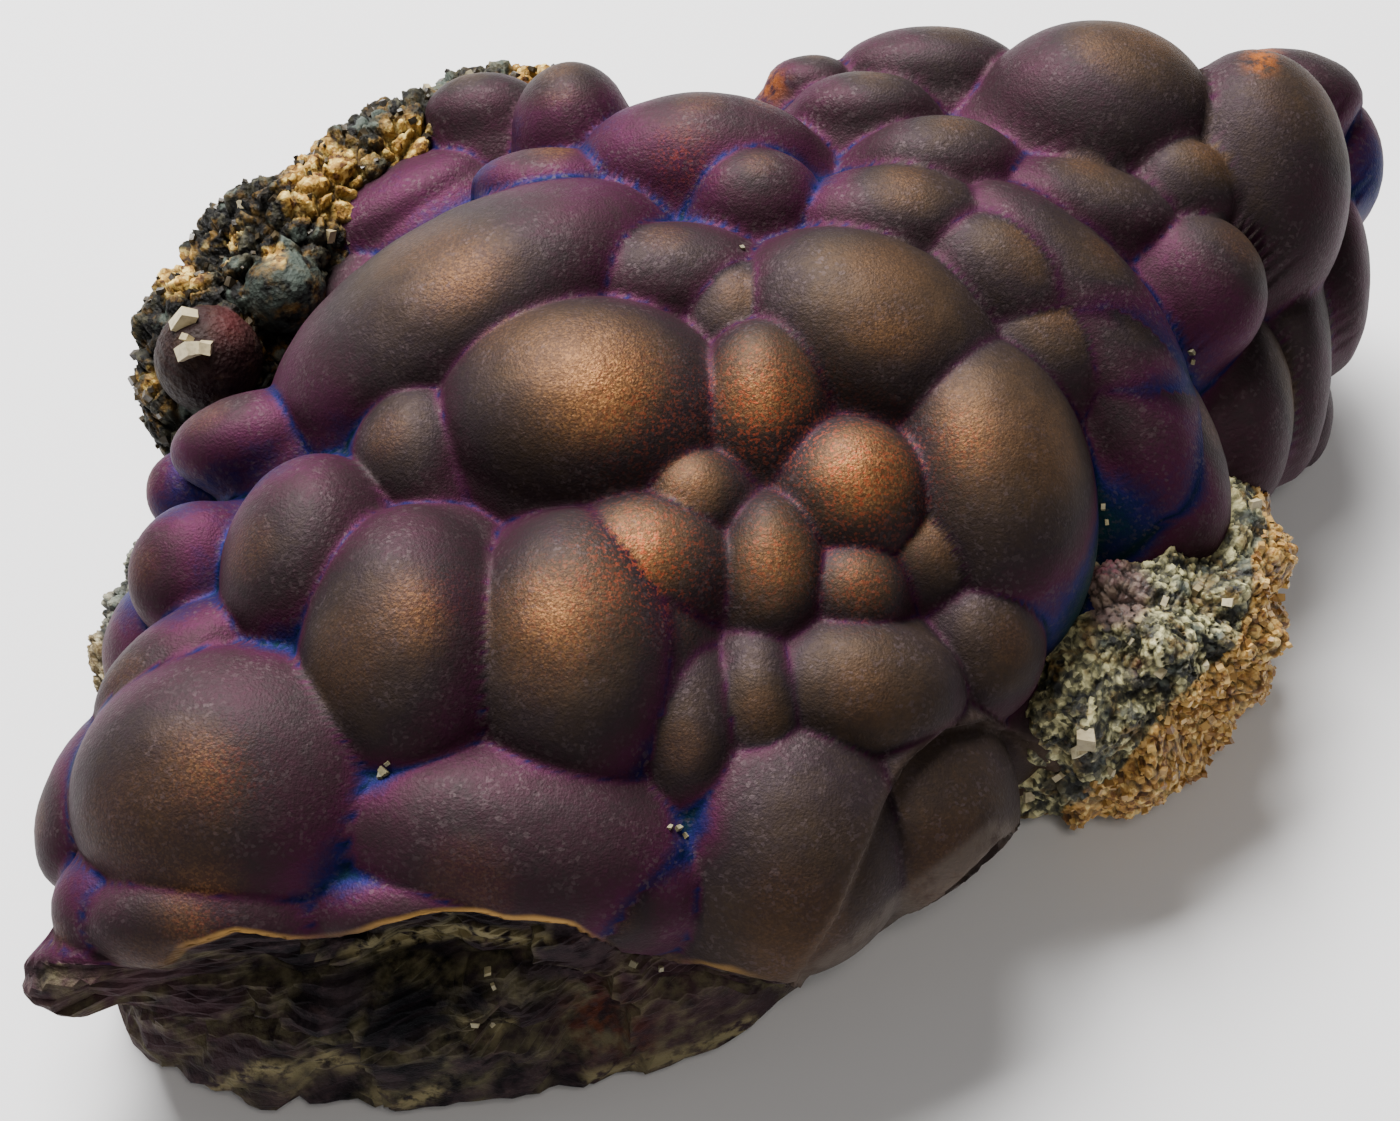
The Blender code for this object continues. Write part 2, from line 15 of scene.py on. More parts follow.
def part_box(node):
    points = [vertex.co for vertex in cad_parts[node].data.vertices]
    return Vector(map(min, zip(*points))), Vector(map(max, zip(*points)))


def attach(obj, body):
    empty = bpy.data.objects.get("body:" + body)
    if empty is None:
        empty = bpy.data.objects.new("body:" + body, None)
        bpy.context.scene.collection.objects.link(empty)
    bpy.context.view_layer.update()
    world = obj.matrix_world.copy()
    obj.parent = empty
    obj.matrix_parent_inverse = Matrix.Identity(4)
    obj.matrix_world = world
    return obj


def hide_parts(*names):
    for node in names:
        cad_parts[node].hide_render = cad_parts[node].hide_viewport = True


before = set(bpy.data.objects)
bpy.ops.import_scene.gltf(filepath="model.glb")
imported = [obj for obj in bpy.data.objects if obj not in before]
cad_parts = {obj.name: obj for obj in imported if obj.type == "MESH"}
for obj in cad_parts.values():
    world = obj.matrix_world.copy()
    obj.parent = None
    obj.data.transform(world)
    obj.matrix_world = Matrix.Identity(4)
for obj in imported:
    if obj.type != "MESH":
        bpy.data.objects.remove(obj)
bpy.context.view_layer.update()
METRE = 0.001

# Driving dimensions of the ore, millimetres, as in its solid
CORE_CENTRE = np.array([2.0, 8.0, 16.0])
CORE_ABOVE = 20.5
CORE_BELOW = 17.0
CORE_ROUND_ABOVE = 2.3
CORE_ROUND_BELOW = 5.0
CORE_SLOPE = 0.10
DISC_SHARE = np.array([0.70, 0.70, 0.0])
GROWTH_SPREAD = np.array([54.0, 44.0, 20.0])
CREASE_DEPTH = 2.2
CREASE_BLEND = 0.5
SKIRT_SLOPE = 1.1
WALL_SLOPE = 2.0
LOBE_SPREAD = 1.36
LOBE_SUNK = 0.62
CORE_PLAN = [
    (-52, -35), (-40, -41), (-18, -41), (-4, -38), (6, -34), (15, -26), (24, -16), (30, -8), (35, 2),
    (43, 13), (51, 24), (57, 38), (55, 47), (43, 51), (18, 48), (2, 46), (-10, 44), (-22, 37),
    (-31, 28), (-38, 16), (-41, 5), (-45, -8), (-47, -20),
]

# The view that the lobes were measured in: a 1400 by 1121 photograph taken from above the front
VIEW_SIZE = (1400, 1121)
VIEW_CENTRE = (704.0, 560.0)
LENS = 70.0
SENSOR = 36.0
VIEW_FOCAL = LENS / SENSOR * VIEW_SIZE[0]
VIEW_TILT = math.radians(55)
VIEW_DISTANCE = 219.5
VIEW_TARGET = np.array([0.0, 0.0, 20.0])
VIEW_RIGHT = np.array([1.0, 0.0, 0.0])
VIEW_UP = np.array([0.0, math.sin(VIEW_TILT), math.cos(VIEW_TILT)])
VIEW_BACK = np.array([0.0, -math.cos(VIEW_TILT), math.sin(VIEW_TILT)])
VIEW_EYE = VIEW_TARGET + VIEW_BACK * VIEW_DISTANCE

# Each lobe: pixel of its centre, half width and half height in pixels, turn in degrees,
# rise above the core in millimetres, and how domed it is
LOBES = {
    "crown": (583, 395, 118, 98, 0, 1.0, 1.0),
    "ridge_left": (445, 303, 165, 84, 31, 0.0, 1.0),
    "wedge": (415, 450, 54, 66, 0, -1.0, 1.0),
    "egg": (298, 545, 66, 88, -10, 1.0, 1.0),
    "cheek": (407, 632, 86, 120, 0, 0.8, 1.0),
    "belly": (600, 645, 108, 140, 0, -2.0, 1.0),
    "belly_top": (648, 556, 72, 62, -10, 0.6, 0.9),
    "belly_left": (578, 640, 92, 122, 0, 0.8, 0.9),
    "button": (695, 492, 46, 44, 0, 0.0, 0.9),
    "bead_centre": (762, 396, 54, 76, 0, 0.5, 0.9),
    "brow": (868, 322, 112, 84, -25, 0.3, 1.0),
    "bead_gold": (856, 484, 62, 62, 0, 0.6, 0.9),
    "shoulder": (1008, 482, 82, 124, 8, 0.3, 1.0),
    "bead_low": (774, 568, 44, 68, 0, 0.0, 0.9),
    "bead_small": (858, 587, 44, 42, 0, 0.0, 0.9),
    "fill_shoulder": (930, 555, 55, 52, 0, -1.5, 1.0),
    "bead_edge": (993, 645, 52, 60, 0, 0.0, 0.9),
    "pad_right": (866, 688, 92, 62, 0, 0.0, 0.9),
    "bead_narrow": (762, 700, 42, 64, 0, -0.5, 0.9),
    "pad_narrow": (692, 728, 46, 78, 0, -0.5, 0.9),
    "knee": (812, 862, 106, 112, 0, 0.0, 0.9),
    "pad_front": (528, 838, 152, 84, -8, 0.0, 0.8),
    "pad_front_end": (635, 880, 66, 56, 0, 0.0, 0.8),
    "dome_left": (236, 768, 134, 112, 0, 0.0, 0.9),
    "front_left": (222, 915, 112, 52, 0, -0.8, 1.0),
    "front_right": (455, 912, 116, 50, 0, -0.5, 0.9),
    "side_upper": (92, 790, 38, 70, -22, 0.0, 1.0),
    "side_lower": (98, 905, 42, 46, 0, 0.0, 1.0),
    "tip": (86, 970, 58, 34, 12, 0.0, 1.0),
    "band_1": (172, 662, 78, 44, 35, 0.0, 0.9),
    "band_2": (192, 566, 54, 54, 0, 0.0, 0.8),
    "band_3": (200, 492, 38, 34, 0, 0.0, 0.9),
    "band_4": (250, 435, 68, 38, 10, 0.0, 0.9),
    "band_5": (400, 215, 84, 36, 28, -1.0, 1.0),
    "ball_back": (570, 126, 44, 52, 0, 0.0, 1.0),
    "ball_back_low": (548, 178, 60, 30, 0, 0.5, 1.0),
    "ball_back_left": (488, 120, 46, 34, 0, -0.5, 0.9),
    "back_red": (700, 152, 92, 58, 0, 0.0, 0.8),
    "back_red_bead": (756, 192, 50, 44, 0, 0.5, 0.8),
    "back_arch": (668, 272, 86, 50, 0, -0.3, 0.9),
    "fill_arch": (738, 318, 50, 58, 0, -1.0, 0.9),
    "back_brown": (890, 212, 78, 46, 0, 0.0, 0.9),
    "back_brown_top": (938, 156, 62, 40, 0, 0.0, 0.9),
    "back_bead": (862, 106, 54, 32, 0, 0.0, 0.9),
    "back_rim_bead": (810, 84, 34, 24, 0, 0.0, 1.0),
    "back_rim": (928, 70, 68, 36, 0, 0.0, 0.9),
    "dome_back": (1097, 102, 88, 76, 0, 0.0, 0.9),
    "low_back": (1070, 200, 86, 40, -8, -1.5, 0.8),
    "low_right": (1008, 272, 72, 50, -30, 0.0, 0.8),
    "low_right_end": (1045, 352, 62, 56, -30, -1.2, 0.8),
    "ridge_upper": (1095, 290, 112, 46, -46, 0.0, 0.8),
    "ridge_middle": (1135, 350, 110, 48, -58, 0.0, 0.8),
    "ridge_low": (1160, 405, 104, 48, -64, 0.0, 0.8),
    "ridge_lower": (1180, 455, 90, 48, -66, 0.0, 0.8),
    "bead_right": (1182, 186, 44, 44, 0, 0.0, 0.8),
    "dome_right": (1268, 172, 70, 100, 0, 0.0, 0.9),
    "rim_right": (1275, 98, 62, 36, 0, 0.0, 1.0),
    "edge_upper": (1340, 166, 30, 48, 0, 0.0, 1.0),
    "edge_middle": (1330, 282, 28, 66, 0, 0.0, 1.0),
    "bead_valley": (1206, 288, 56, 58, 0, 0.0, 0.8),
    "bead_tall": (1242, 420, 42, 76, 0, 0.0, 0.9),
    "bead_outer": (1286, 365, 35, 88, 0, 0.0, 0.9),
    "edge_lower": (1296, 412, 26, 42, 0, 0.0, 1.0),
    "shell_face": (930, 820, 92, 105, 35, 0.0, 0.9),
}
# Dips of the floor between the lobes: pixel, radius and depth in millimetres
DIPS = {"valley": (1100, 580, 7.0, 3.5), "pocket": (1245, 275, 5.0, 2.5), "saddle": (1170, 330, 5.0, 1.5)}
# Lobes scattered over the hidden sides
SIDE_TRIES = 260
SIDE_SPACING = 8.5
SIDE_RADIUS = (5.5, 8.0)
SIDE_LOWEST = 9.0
SIDE_SEED = 71

# Broken faces: a point, the outward direction and the roughness in millimetres
BREAKS = {
    "front_right": ((15.3, -25.9, 9), (0.60, -0.67, -0.42), 0.5),
    "left_tip": ((-52.5, -33, 11), (-0.76, -0.12, -0.62), 0.8),
}
# The lip of the broken front in pixels of the view
LIP = [
    (20, 965), (160, 968), (180, 948), (230, 930), (310, 941), (345, 936), (390, 920), (450, 911),
    (570, 924), (620, 950), (700, 965), (790, 985), (825, 1000), (900, 935), (1000, 842), (1060, 800),
]
LIP_STEP = 0.9
# Hollows of the broken front, and its bulges with a depth below zero: pixel, radius in pixels, millimetres
LIP_HOLLOWS = {
    "dark_hollow": (405, 985, 72, 3.0), "notch": (333, 945, 20, 1.0), "right_hollow": (560, 1008, 42, 1.6),
    "left_hollow": (235, 1005, 50, 1.0), "low_shelf": (470, 1060, 60, -1.0),
    "left_shelf": (290, 1080, 55, -0.8), "low_notch_left": (335, 1085, 24, 1.6),
    "low_notch_right": (500, 1072, 24, 1.9), "low_bulge_left": (215, 1092, 30, -0.9),
    "low_bulge": (420, 1092, 34, -1.0), "low_bulge_right": (592, 1085, 28, -0.8),
}
# The flat foot, and the broken underside that rises around it
FOOT_CENTRE = (0.0, 10.0)
FOOT_HALF = (30.0, 24.0)
UNDER_RISE = 5.0
UNDER_ROUGH = 1.2
UNDER_ROUGH = 1.2

# Driving dimensions of the matrix block, millimetres
BLOCK_CENTRE = np.array([35.8, -1.2, 11.0])
BLOCK_HALF = np.array([18.0, 9.4, 10.0])
BLOCK_TURN = math.radians(57)
BLOCK_ROUND = 2.8
BLOCK_ROUGH = 1.3
BLOCK_LOWEST = 0.8
BLOCK_LUMPS = 1.3
# Swells and hollows of the block: pixel, radius in pixels, height in millimetres
BLOCK_SWELLS = {
    "lower_right": (1268, 680, 55, 1.4), "top_right": (1302, 512, 34, -1.6), "foot": (1108, 840, 34, -1.5),
    "pink_lump": (1117, 592, 32, 2.2), "knob_top": (1225, 492, 20, 1.0), "knob_middle": (1165, 560, 18, 0.9),
    "knob_low": (1150, 650, 20, 0.9), "hollow_upper": (1190, 530, 12, -1.1),
    "hollow_low": (1128, 700, 13, -1.1),
}
# The pink lump and the red beside it: pixel, radius in pixels, strength
PINK_SPOTS = {"lump": (1115, 592, 34, 1.6)}
PINK_RED_SPOTS = {"top": (1106, 560, 17, 1.4), "low": (1090, 640, 8, 0.6), "side": (1142, 665, 10, 0.5)}
# Outline of the block's grey-green part in pixels of the view
GREY_ZONE = [
    (1195, 485), (1250, 462), (1264, 520), (1246, 600), (1236, 655), (1180, 690), (1135, 745), (1100, 780),
    (1040, 815), (1000, 850), (970, 800), (1015, 700), (1045, 560), (1105, 520),
]
# Paths of the crust and the rim, their radii along them, and the crust's balls, millimetres
CRUST_PATH = [(-44, 13, 14), (-42, 22, 19), (-35, 32, 22), (-27, 40, 23), (-18, 46, 23), (-9, 49, 22)]
CRUST_RADIUS = [5.5, 7.5, 7.0, 6.2, 5.6, 4.0]
CRUST_BALLS = {"ball_dark": ((-41.3, 18.0, 23.6), 4.5), "ball_green": ((-35.2, 23.6, 25.6), 3.5)}
CRUST_ROUGH = 1.1
RIM_PATH = [(-43.0, 12, 14), (-45.0, 4, 13.5), (-47.2, -4, 12.5), (-48.6, -9, 11.5)]
RIM_RADIUS = [1.9, 2.6, 2.5, 1.8]

# Fine relief, millimetres, and the grids it is built on: cuts per side of a cube, or rings and spokes
FINE_GRID = 126
SOLID_GRID = 48
CRUST_GRID = (260, 170)
RIM_GRID = (140, 80)
GRID_LIFT = 0.42
LAYER_PIXELS = 17.0
LAYER_STEP = 0.45
CHIP_SIZE = 1.9
CHIP_STEP = 0.6
SLAB_SIZE = 6.5
SLAB_STEP = 3.2
SHELL_STEP = 1.7
SEAM_WIDTH = 0.30
# Cosine between a growth line and the way to the view, above which the line counts as seen
SEEN_FROM = -0.2
# Layers of noise: height in millimetres or pixels, size in millimetres, seed
SKIN_RELIEF = [(0.10, 4.0, 81), (0.05, 1.6, 82)]
LIP_WANDER = [(3.0, 2.0, 71)]
LIP_LUMPS = [(0.9, 7.0, 72), (0.6, 3.4, 73)]
BED_WAVES = [(26.0, 9.0, 95), (9.0, 3.0, 96)]
BLOCK_WAVES = [(1.0, 7.0, 51), (0.6, 3.2, 52)]
BLOCK_LUMP_WAVES = [(1.0, 3.8, 54), (0.9, 1.9, 56)]
GREY_WAVES = [(14.0, 3.0, 53), (7.0, 1.2, 55)]
# Size and height of the rock's grains
BLOCK_GRAIN = (1.0, 0.34)
CRUST_GRAIN = (2.4, 0.8)
RIM_GRAIN = (1.4, 0.5)
# Loose grains on the block and the crust: their number, smallest and largest size, and seed
BLOCK_SCATTER = (1100, (0.25, 0.6), 201)
CRUST_SCATTER = (500, (0.25, 0.7), 211)
# Stage: the floor, the surround, and each light's place, size, power and colour
FLOOR_HALF = 1.5
FLOOR_COLOUR = (0.80, 0.80, 0.82)
FLOOR_ROUGHNESS = 0.75
SURROUND_COLOUR = (0.86, 0.88, 0.93)
SURROUND_STRENGTH = 0.16
LIGHT_TARGET = (0.0, 0.0, 0.02)
LIGHTS = {
    "key": ((-0.17, 0.36, 0.54), 0.40, 18.0, (1.0, 0.985, 0.96)),
    "front": ((0.02, -0.17, 0.30), 0.05, 0.23, (1.0, 0.93, 0.84)),
}
# Outline of the place at the lower right where the shell is missing, in pixels of the view
SHELL_OUTLINE = [
    (792, 992), (838, 920), (868, 850), (888, 800), (912, 760), (948, 730), (988, 722), (1034, 745),
    (1075, 800), (1010, 870), (900, 960), (815, 1010),
]


def unit(vectors):
    """The vectors divided by their lengths."""
    return vectors / np.maximum(np.linalg.norm(vectors, axis=-1, keepdims=True), 1e-12)


def smoothstep(low, high, value):
    """0 below low, 1 above high, and a smooth rise between them."""
    share = np.clip((value - low) / (high - low), 0.0, 1.0)
    return share * share * (3.0 - 2.0 * share)


def fade(places, middle, radius):
    """1 at the middle, falling off in a bell whose width is the radius."""
    away = np.linalg.norm(places - middle, axis=-1) / radius
    return np.exp(-away * away)


def lattice_value(cell, seed):
    """One repeatable value from -1 to 1 for each whole-numbered cell."""
    mix = cell[..., 0] * 374761393 + cell[..., 1] * 668265263 + cell[..., 2] * 1274126177 + seed * 974634777
    mix = (mix ^ (mix >> 13)) * 1103515245 & 0xFFFFFFFF
    mix = (mix ^ (mix >> 16)) * 69069 & 0xFFFFFFFF
    return (mix ^ (mix >> 15) & 0xFFFF) % 65536 / 32767.5 - 1.0


def noise(points, size, seed):
    """Smooth noise from -1 to 1: lattice values one size apart, blended in each direction."""
    scaled = points / size
    cell = np.floor(scaled).astype(np.int64)
    share = smoothstep(0.0, 1.0, scaled - cell)
    total = 0.0
    for corner in np.ndindex(2, 2, 2):
        weight = np.prod(np.where(np.array(corner) == 1, share, 1.0 - share), axis=-1)
        total = total + weight * lattice_value(cell + np.array(corner), seed)
    return total


def noise_layers(start, points, layers):
    """The start value plus layers of noise, each with its height, size and seed."""
    for height, size, seed in layers:
        start = start + height * noise(points, size, seed)
    return start


def chips(points, size, seed):
    """Cellular pattern: distance to the nearest and next scattered point, as shares of the size, and a
    repeatable value of the nearest one."""
    scaled = points / size
    cell = np.floor(scaled).astype(np.int64)
    nearest = np.full(len(points), 9.0)
    second = np.full(len(points), 9.0)
    value = np.zeros(len(points))
    for corner in np.ndindex(3, 3, 3):
        other = cell + np.array(corner) - 1
        jitter = np.stack([lattice_value(other, seed + axis) for axis in range(3)], -1)
        away = np.linalg.norm(other + 0.5 + 0.42 * jitter - scaled, axis=-1)
        closer = away < nearest
        second = np.where(closer, nearest, np.minimum(second, away))
        value = np.where(closer, lattice_value(other, seed + 7), value)
        nearest = np.where(closer, away, nearest)
    return nearest, second, value


def core_radius(angle):
    """Distance of the core's outline from its centre: straight runs between the plan's points by angle,
    averaged with a bell-shaped weight so that their corners are round."""
    corners = np.array(CORE_PLAN, float) - CORE_CENTRE[:2]
    turn = np.arctan2(corners[:, 1], corners[:, 0])
    order = np.argsort(turn)
    reach = np.hypot(corners[:, 0], corners[:, 1])[order]
    fine = np.linspace(-math.pi, math.pi, 721)
    values = np.interp(fine, turn[order], reach, period=2 * math.pi)
    kernel = np.exp(-0.5 * (np.arange(-40, 41) / 11.0) ** 2)
    around = np.concatenate([values[-41:-1], values, values[1:41]])
    values = np.convolve(around, kernel / kernel.sum(), mode="valid")
    return np.interp(angle, fine, values)


def core(points):
    """Level of each point, 1 on the core's surface and growing in step with distance from the centre: the
    flat distance over the outline's and the height over the core's, each to a power, summed, and the root
    of that."""
    offset = points - CORE_CENTRE
    flat = np.hypot(offset[..., 0], offset[..., 1]) / core_radius(np.arctan2(offset[..., 1], offset[..., 0]))
    level = offset[..., 2] - CORE_SLOPE * offset[..., 1]
    above = level > 0
    tall = np.where(above, level / CORE_ABOVE, -level / CORE_BELOW)
    power = np.where(above, CORE_ROUND_ABOVE, CORE_ROUND_BELOW)
    return (flat ** power + tall ** power) ** (1.0 / power)


def sight(pixel_x, pixel_y):
    """Direction of the line of sight through a pixel."""
    return unit(-VIEW_BACK * VIEW_FOCAL + VIEW_RIGHT * (pixel_x - VIEW_CENTRE[0])
                + VIEW_UP * (VIEW_CENTRE[1] - pixel_y))


def seat(pixel_x, pixel_y):
    """Where the line of sight through a pixel first meets the core, or passes it closest."""
    along = np.linspace(VIEW_DISTANCE - 100.0, VIEW_DISTANCE + 100.0, 1601)
    line = VIEW_EYE + along[:, None] * sight(pixel_x, pixel_y)
    depth = core(line)
    inside = np.flatnonzero(depth <= 1.0)
    return line[inside[0] if len(inside) else int(np.argmin(depth))]


def seen_pixels(points):
    """Pixel of the photograph that each point falls on."""
    offset = points - VIEW_EYE
    scale = VIEW_FOCAL / -(offset @ VIEW_BACK)
    across = VIEW_CENTRE[0] + offset @ VIEW_RIGHT * scale
    return np.stack([across, VIEW_CENTRE[1] - offset @ VIEW_UP * scale], -1)


def core_normal(place):
    """Outward normal of the core's level surface through a point, from the level a short step away."""
    steps = place + 0.05 * np.eye(3)
    return unit(core(steps) - core(place))


def seen_lobe(pixel_x, pixel_y, half_width, half_height, turn, rise, dome):
    """Centre and scaled axes of an ellipsoid whose part above the core fills this outline in the view.

    Where the core is seen at a slant, the cap above it lies off the ellipsoid's centre, so the centre is
    moved back against the slant.
    """
    line = sight(pixel_x, pixel_y)
    place = seat(pixel_x, pixel_y)
    width, height = LOBE_SPREAD * half_width, LOBE_SPREAD * half_height
    normal = core_normal(place)
    slant = LOBE_SUNK * max(np.dot(normal, -line), 0.0)
    line = sight(pixel_x - slant * np.dot(normal, VIEW_RIGHT) * width,
                 pixel_y + slant * np.dot(normal, VIEW_UP) * height)
    depth = dome * math.sqrt(width * height) * np.dot(place - VIEW_EYE, line) / VIEW_FOCAL
    centre = VIEW_EYE + line * (np.dot(place - VIEW_EYE, normal) / np.dot(line, normal))
    centre = centre + line * (LOBE_SUNK * depth - rise)
    scale = np.dot(centre - VIEW_EYE, line) / VIEW_FOCAL
    across = unit(VIEW_RIGHT - line * np.dot(VIEW_RIGHT, line))
    upward = np.cross(-line, across)
    cosine, sine = math.cos(math.radians(turn)), math.sin(math.radians(turn))
    axes = np.array([(across * cosine + upward * sine) / (width * scale),
                     (upward * cosine - across * sine) / (height * scale), -line / depth])
    return centre, axes


def growth_lines(directions):
    """Start, direction and length of the growth line in each direction, which runs from a flat disc inside
    the core, a share of the way to its surface, on to that surface."""
    outward = directions * GROWTH_SPREAD
    surface = outward / core(CORE_CENTRE + outward)[..., None]
    start = CORE_CENTRE + surface * DISC_SHARE
    along = surface * (1.0 - DISC_SHARE)
    return start, unit(along), np.linalg.norm(along, axis=-1)


def side_lobes(taken):
    """Lobes scattered with one seed over the sides that face away from the photograph's view."""
    random = np.random.default_rng(SIDE_SEED)
    tries = unit(random.normal(size=(SIDE_TRIES, 3)))
    radii = random.uniform(*SIDE_RADIUS, SIDE_TRIES)
    start, along, length = growth_lines(tries)
    places = start + along * length[:, None]
    lobes = []
    for place, line, radius in zip(places, along, radii):
        hidden = np.dot(unit(place - VIEW_EYE), line) > 0.05
        apart = all(np.linalg.norm(place - other) > SIDE_SPACING for other in taken)
        if place[2] > SIDE_LOWEST and hidden and apart:
            taken = taken + [place]
            lobes.append((place - line * radius * LOBE_SUNK, np.eye(3) / radius))
    return lobes


def blend_max(first, second, blend):
    """The larger of two lengths, raised by a square law where they are closer than the blend, which leaves
    a small fillet."""
    near = np.maximum(blend - np.abs(first - second), 0.0) / blend
    return np.maximum(first, second) + near * near * blend / 4.0


def lobe_reach(start, along, centre, axes):
    """Length along each line to where it leaves the ellipsoid, the larger root of its quadratic, or a large
    negative length where the line misses it."""
    step = along @ axes.T
    offset = (start - centre) @ axes.T
    square = (step * step).sum(-1)
    middle = (step * offset).sum(-1)
    rest = (offset * offset).sum(-1) - 1.0
    under_root = middle * middle - square * rest
    leaves = (np.sqrt(np.maximum(under_root, 0.0)) - middle) / np.maximum(square, 1e-9)
    return np.where(under_root > 0.0, leaves, -1e3)


def skirted_reach(start, along, surface, length, centre, axes):
    """Length along each line to where it leaves the lobe.

    Beside the lobe the length falls off gently below the core's surface, and steeply where the lobe stands
    out past the core, so that neighbours meet in valleys.
    """
    step = along @ axes.T
    offset = (start - centre) @ axes.T
    square = np.maximum((step * step).sum(-1), 1e-9)
    middle = (step * offset).sum(-1) / square
    miss = (offset * offset).sum(-1) - middle * middle * square
    cap = np.where(miss < 1.0, np.sqrt(np.maximum(1.0 - miss, 0.0) / square) - middle, -1e3)
    away = surface - centre
    share = np.linalg.norm(away @ axes.T, axis=-1)
    outside = np.linalg.norm(away, axis=-1) * np.maximum(1.0 - 1.0 / np.maximum(share, 1e-6), 0.0)
    wide = 3.0 / np.linalg.norm(axes, axis=-1).sum()
    wall = np.where(middle < 0.0, -middle - WALL_SLOPE * wide * np.maximum(np.sqrt(miss) - 1.0, 0.0), -1e3)
    wall = np.where(miss < 1.0, -1e3, wall)
    return np.maximum(cap, np.maximum(wall, length - SKIRT_SLOPE * outside))


def break_length(start, along, point, normal, rough, seed, relief):
    """Length along each line to a rough broken face: to its plane, and on by noise and relief over the
    slope at which the line meets it."""
    facing = along @ unit(np.array(normal))
    outward = facing > 1e-3
    facing = np.where(outward, facing, 1.0)
    base = ((np.array(point) - start) @ unit(np.array(normal))) / facing
    length = base
    for _ in range(3):
        place = start + along * length[:, None]
        offset = rough * (noise(place, 7.0, seed) + 0.5 * noise(place, 3.0, seed + 1))
        length = base + (offset + relief) / np.maximum(facing, 0.35)
    return np.where(outward, length, 1e3)


def side_share(along):
    """0 on growth lines that head for the flat foot, 1 on those that leave through the sides or the top."""
    return smoothstep(-0.92, -0.45, along[:, 2])


def lip_cut(skin, along):
    """How deep the front is broken away below its lip, and how many pixels below the lip each point lies: a
    step at the lip, bell-shaped hollows, and lumps that grow with the distance below it."""
    pixels = seen_pixels(skin)
    lip = np.array(LIP, float)
    below = noise_layers(pixels[:, 1] - np.interp(pixels[:, 0], lip[:, 0], lip[:, 1]), skin, LIP_WANDER)
    below = np.where(along[:, 1] < 0.2, below, -99.0)
    cut = LIP_STEP * smoothstep(0.0, 8.0, below)
    for pixel_x, pixel_y, radius, depth in LIP_HOLLOWS.values():
        cut = cut + depth * fade(pixels, (pixel_x, pixel_y), radius) * smoothstep(0.0, 10.0, below)
    lumps = noise_layers(0.0, skin, LIP_LUMPS) * smoothstep(10.0, 60.0, below)
    return (cut + lumps) * side_share(along), below


def underside_length(start, along):
    """Length to the broken underside: flat on the ground in the middle, rising to its edges, in three steps
    from the height at the last place to the next place."""
    downward = along[:, 2] < -1e-3
    slope = np.where(downward, along[:, 2], -1.0)
    height = np.zeros(len(along))
    for _ in range(3):
        place = start + along * ((height - start[:, 2]) / slope)[:, None]
        flat = (place[:, :2] - FOOT_CENTRE) / FOOT_HALF
        away = np.hypot(flat[:, 0], flat[:, 1])
        height = UNDER_RISE * smoothstep(0.75, 1.9, away) + UNDER_ROUGH * (noise(place, 6.0, 31) - 1.0)
        height = np.maximum(height, 0.0)
    return np.where(downward, (height - start[:, 2]) / slope, 1e3)


def ore_lobes():
    """All lobes: the seen ones from their pixels, then the scattered ones on the hidden sides."""
    seen = [seen_lobe(*measures) for measures in LOBES.values()]
    return seen + side_lobes([seat(measures[0], measures[1]) for measures in LOBES.values()])


def path_distance(pixels, path):
    """Pixels from each point to the nearest part of a path of straight runs."""
    distance = np.full(len(pixels), 1e9)
    for first, last in zip(np.array(path[:-1], float), np.array(path[1:], float)):
        run = last - first
        share = np.clip(((pixels - first) @ run) / (run @ run), 0.0, 1.0)
        distance = np.minimum(distance, np.linalg.norm(pixels - first - share[:, None] * run, axis=-1))
    return distance


def outline_depth(pixels, outline):
    """Pixels inside a closed outline, counted from its edge, and below zero outside it."""
    closed = outline + outline[:1]
    inside = np.zeros(len(pixels), bool)
    for first, last in zip(closed[:-1], closed[1:]):
        crosses = (pixels[:, 1] < first[1]) != (pixels[:, 1] < last[1])
        level = np.where(crosses, (pixels[:, 1] - first[1]) / (last[1] - first[1] + 1e-9), 0.0)
        inside ^= crosses & (pixels[:, 0] < first[0] + level * (last[0] - first[0]))
    distance = path_distance(pixels, closed)
    return np.where(inside, distance, -distance)


def join_lobes(start, along, surface, length, floor):
    """Length of each growth line to the joined lobes, the largest of their reaches blended in turn, and to
    the highest and second highest alone, with the centre and the tint of the lobe that it ends on."""
    grown = length - floor
    highest, second = grown.copy(), np.full(len(grown), -1e3)
    middle = surface - along * 30.0
    tint = np.zeros(len(grown))
    for number, (centre, axes) in enumerate(ore_lobes()):
        reach = skirted_reach(start, along, surface, length, centre, axes)
        grown = blend_max(grown, reach, CREASE_BLEND)
        wins = reach > highest
        second = np.where(wins, highest, np.maximum(second, reach))
        highest = np.where(wins, reach, highest)
        middle = np.where(wins[:, None], centre, middle)
        tint = np.where(wins, lattice_value(np.array([[number, 3, 5]]), 17), tint)
    return grown, highest, second, middle, tint


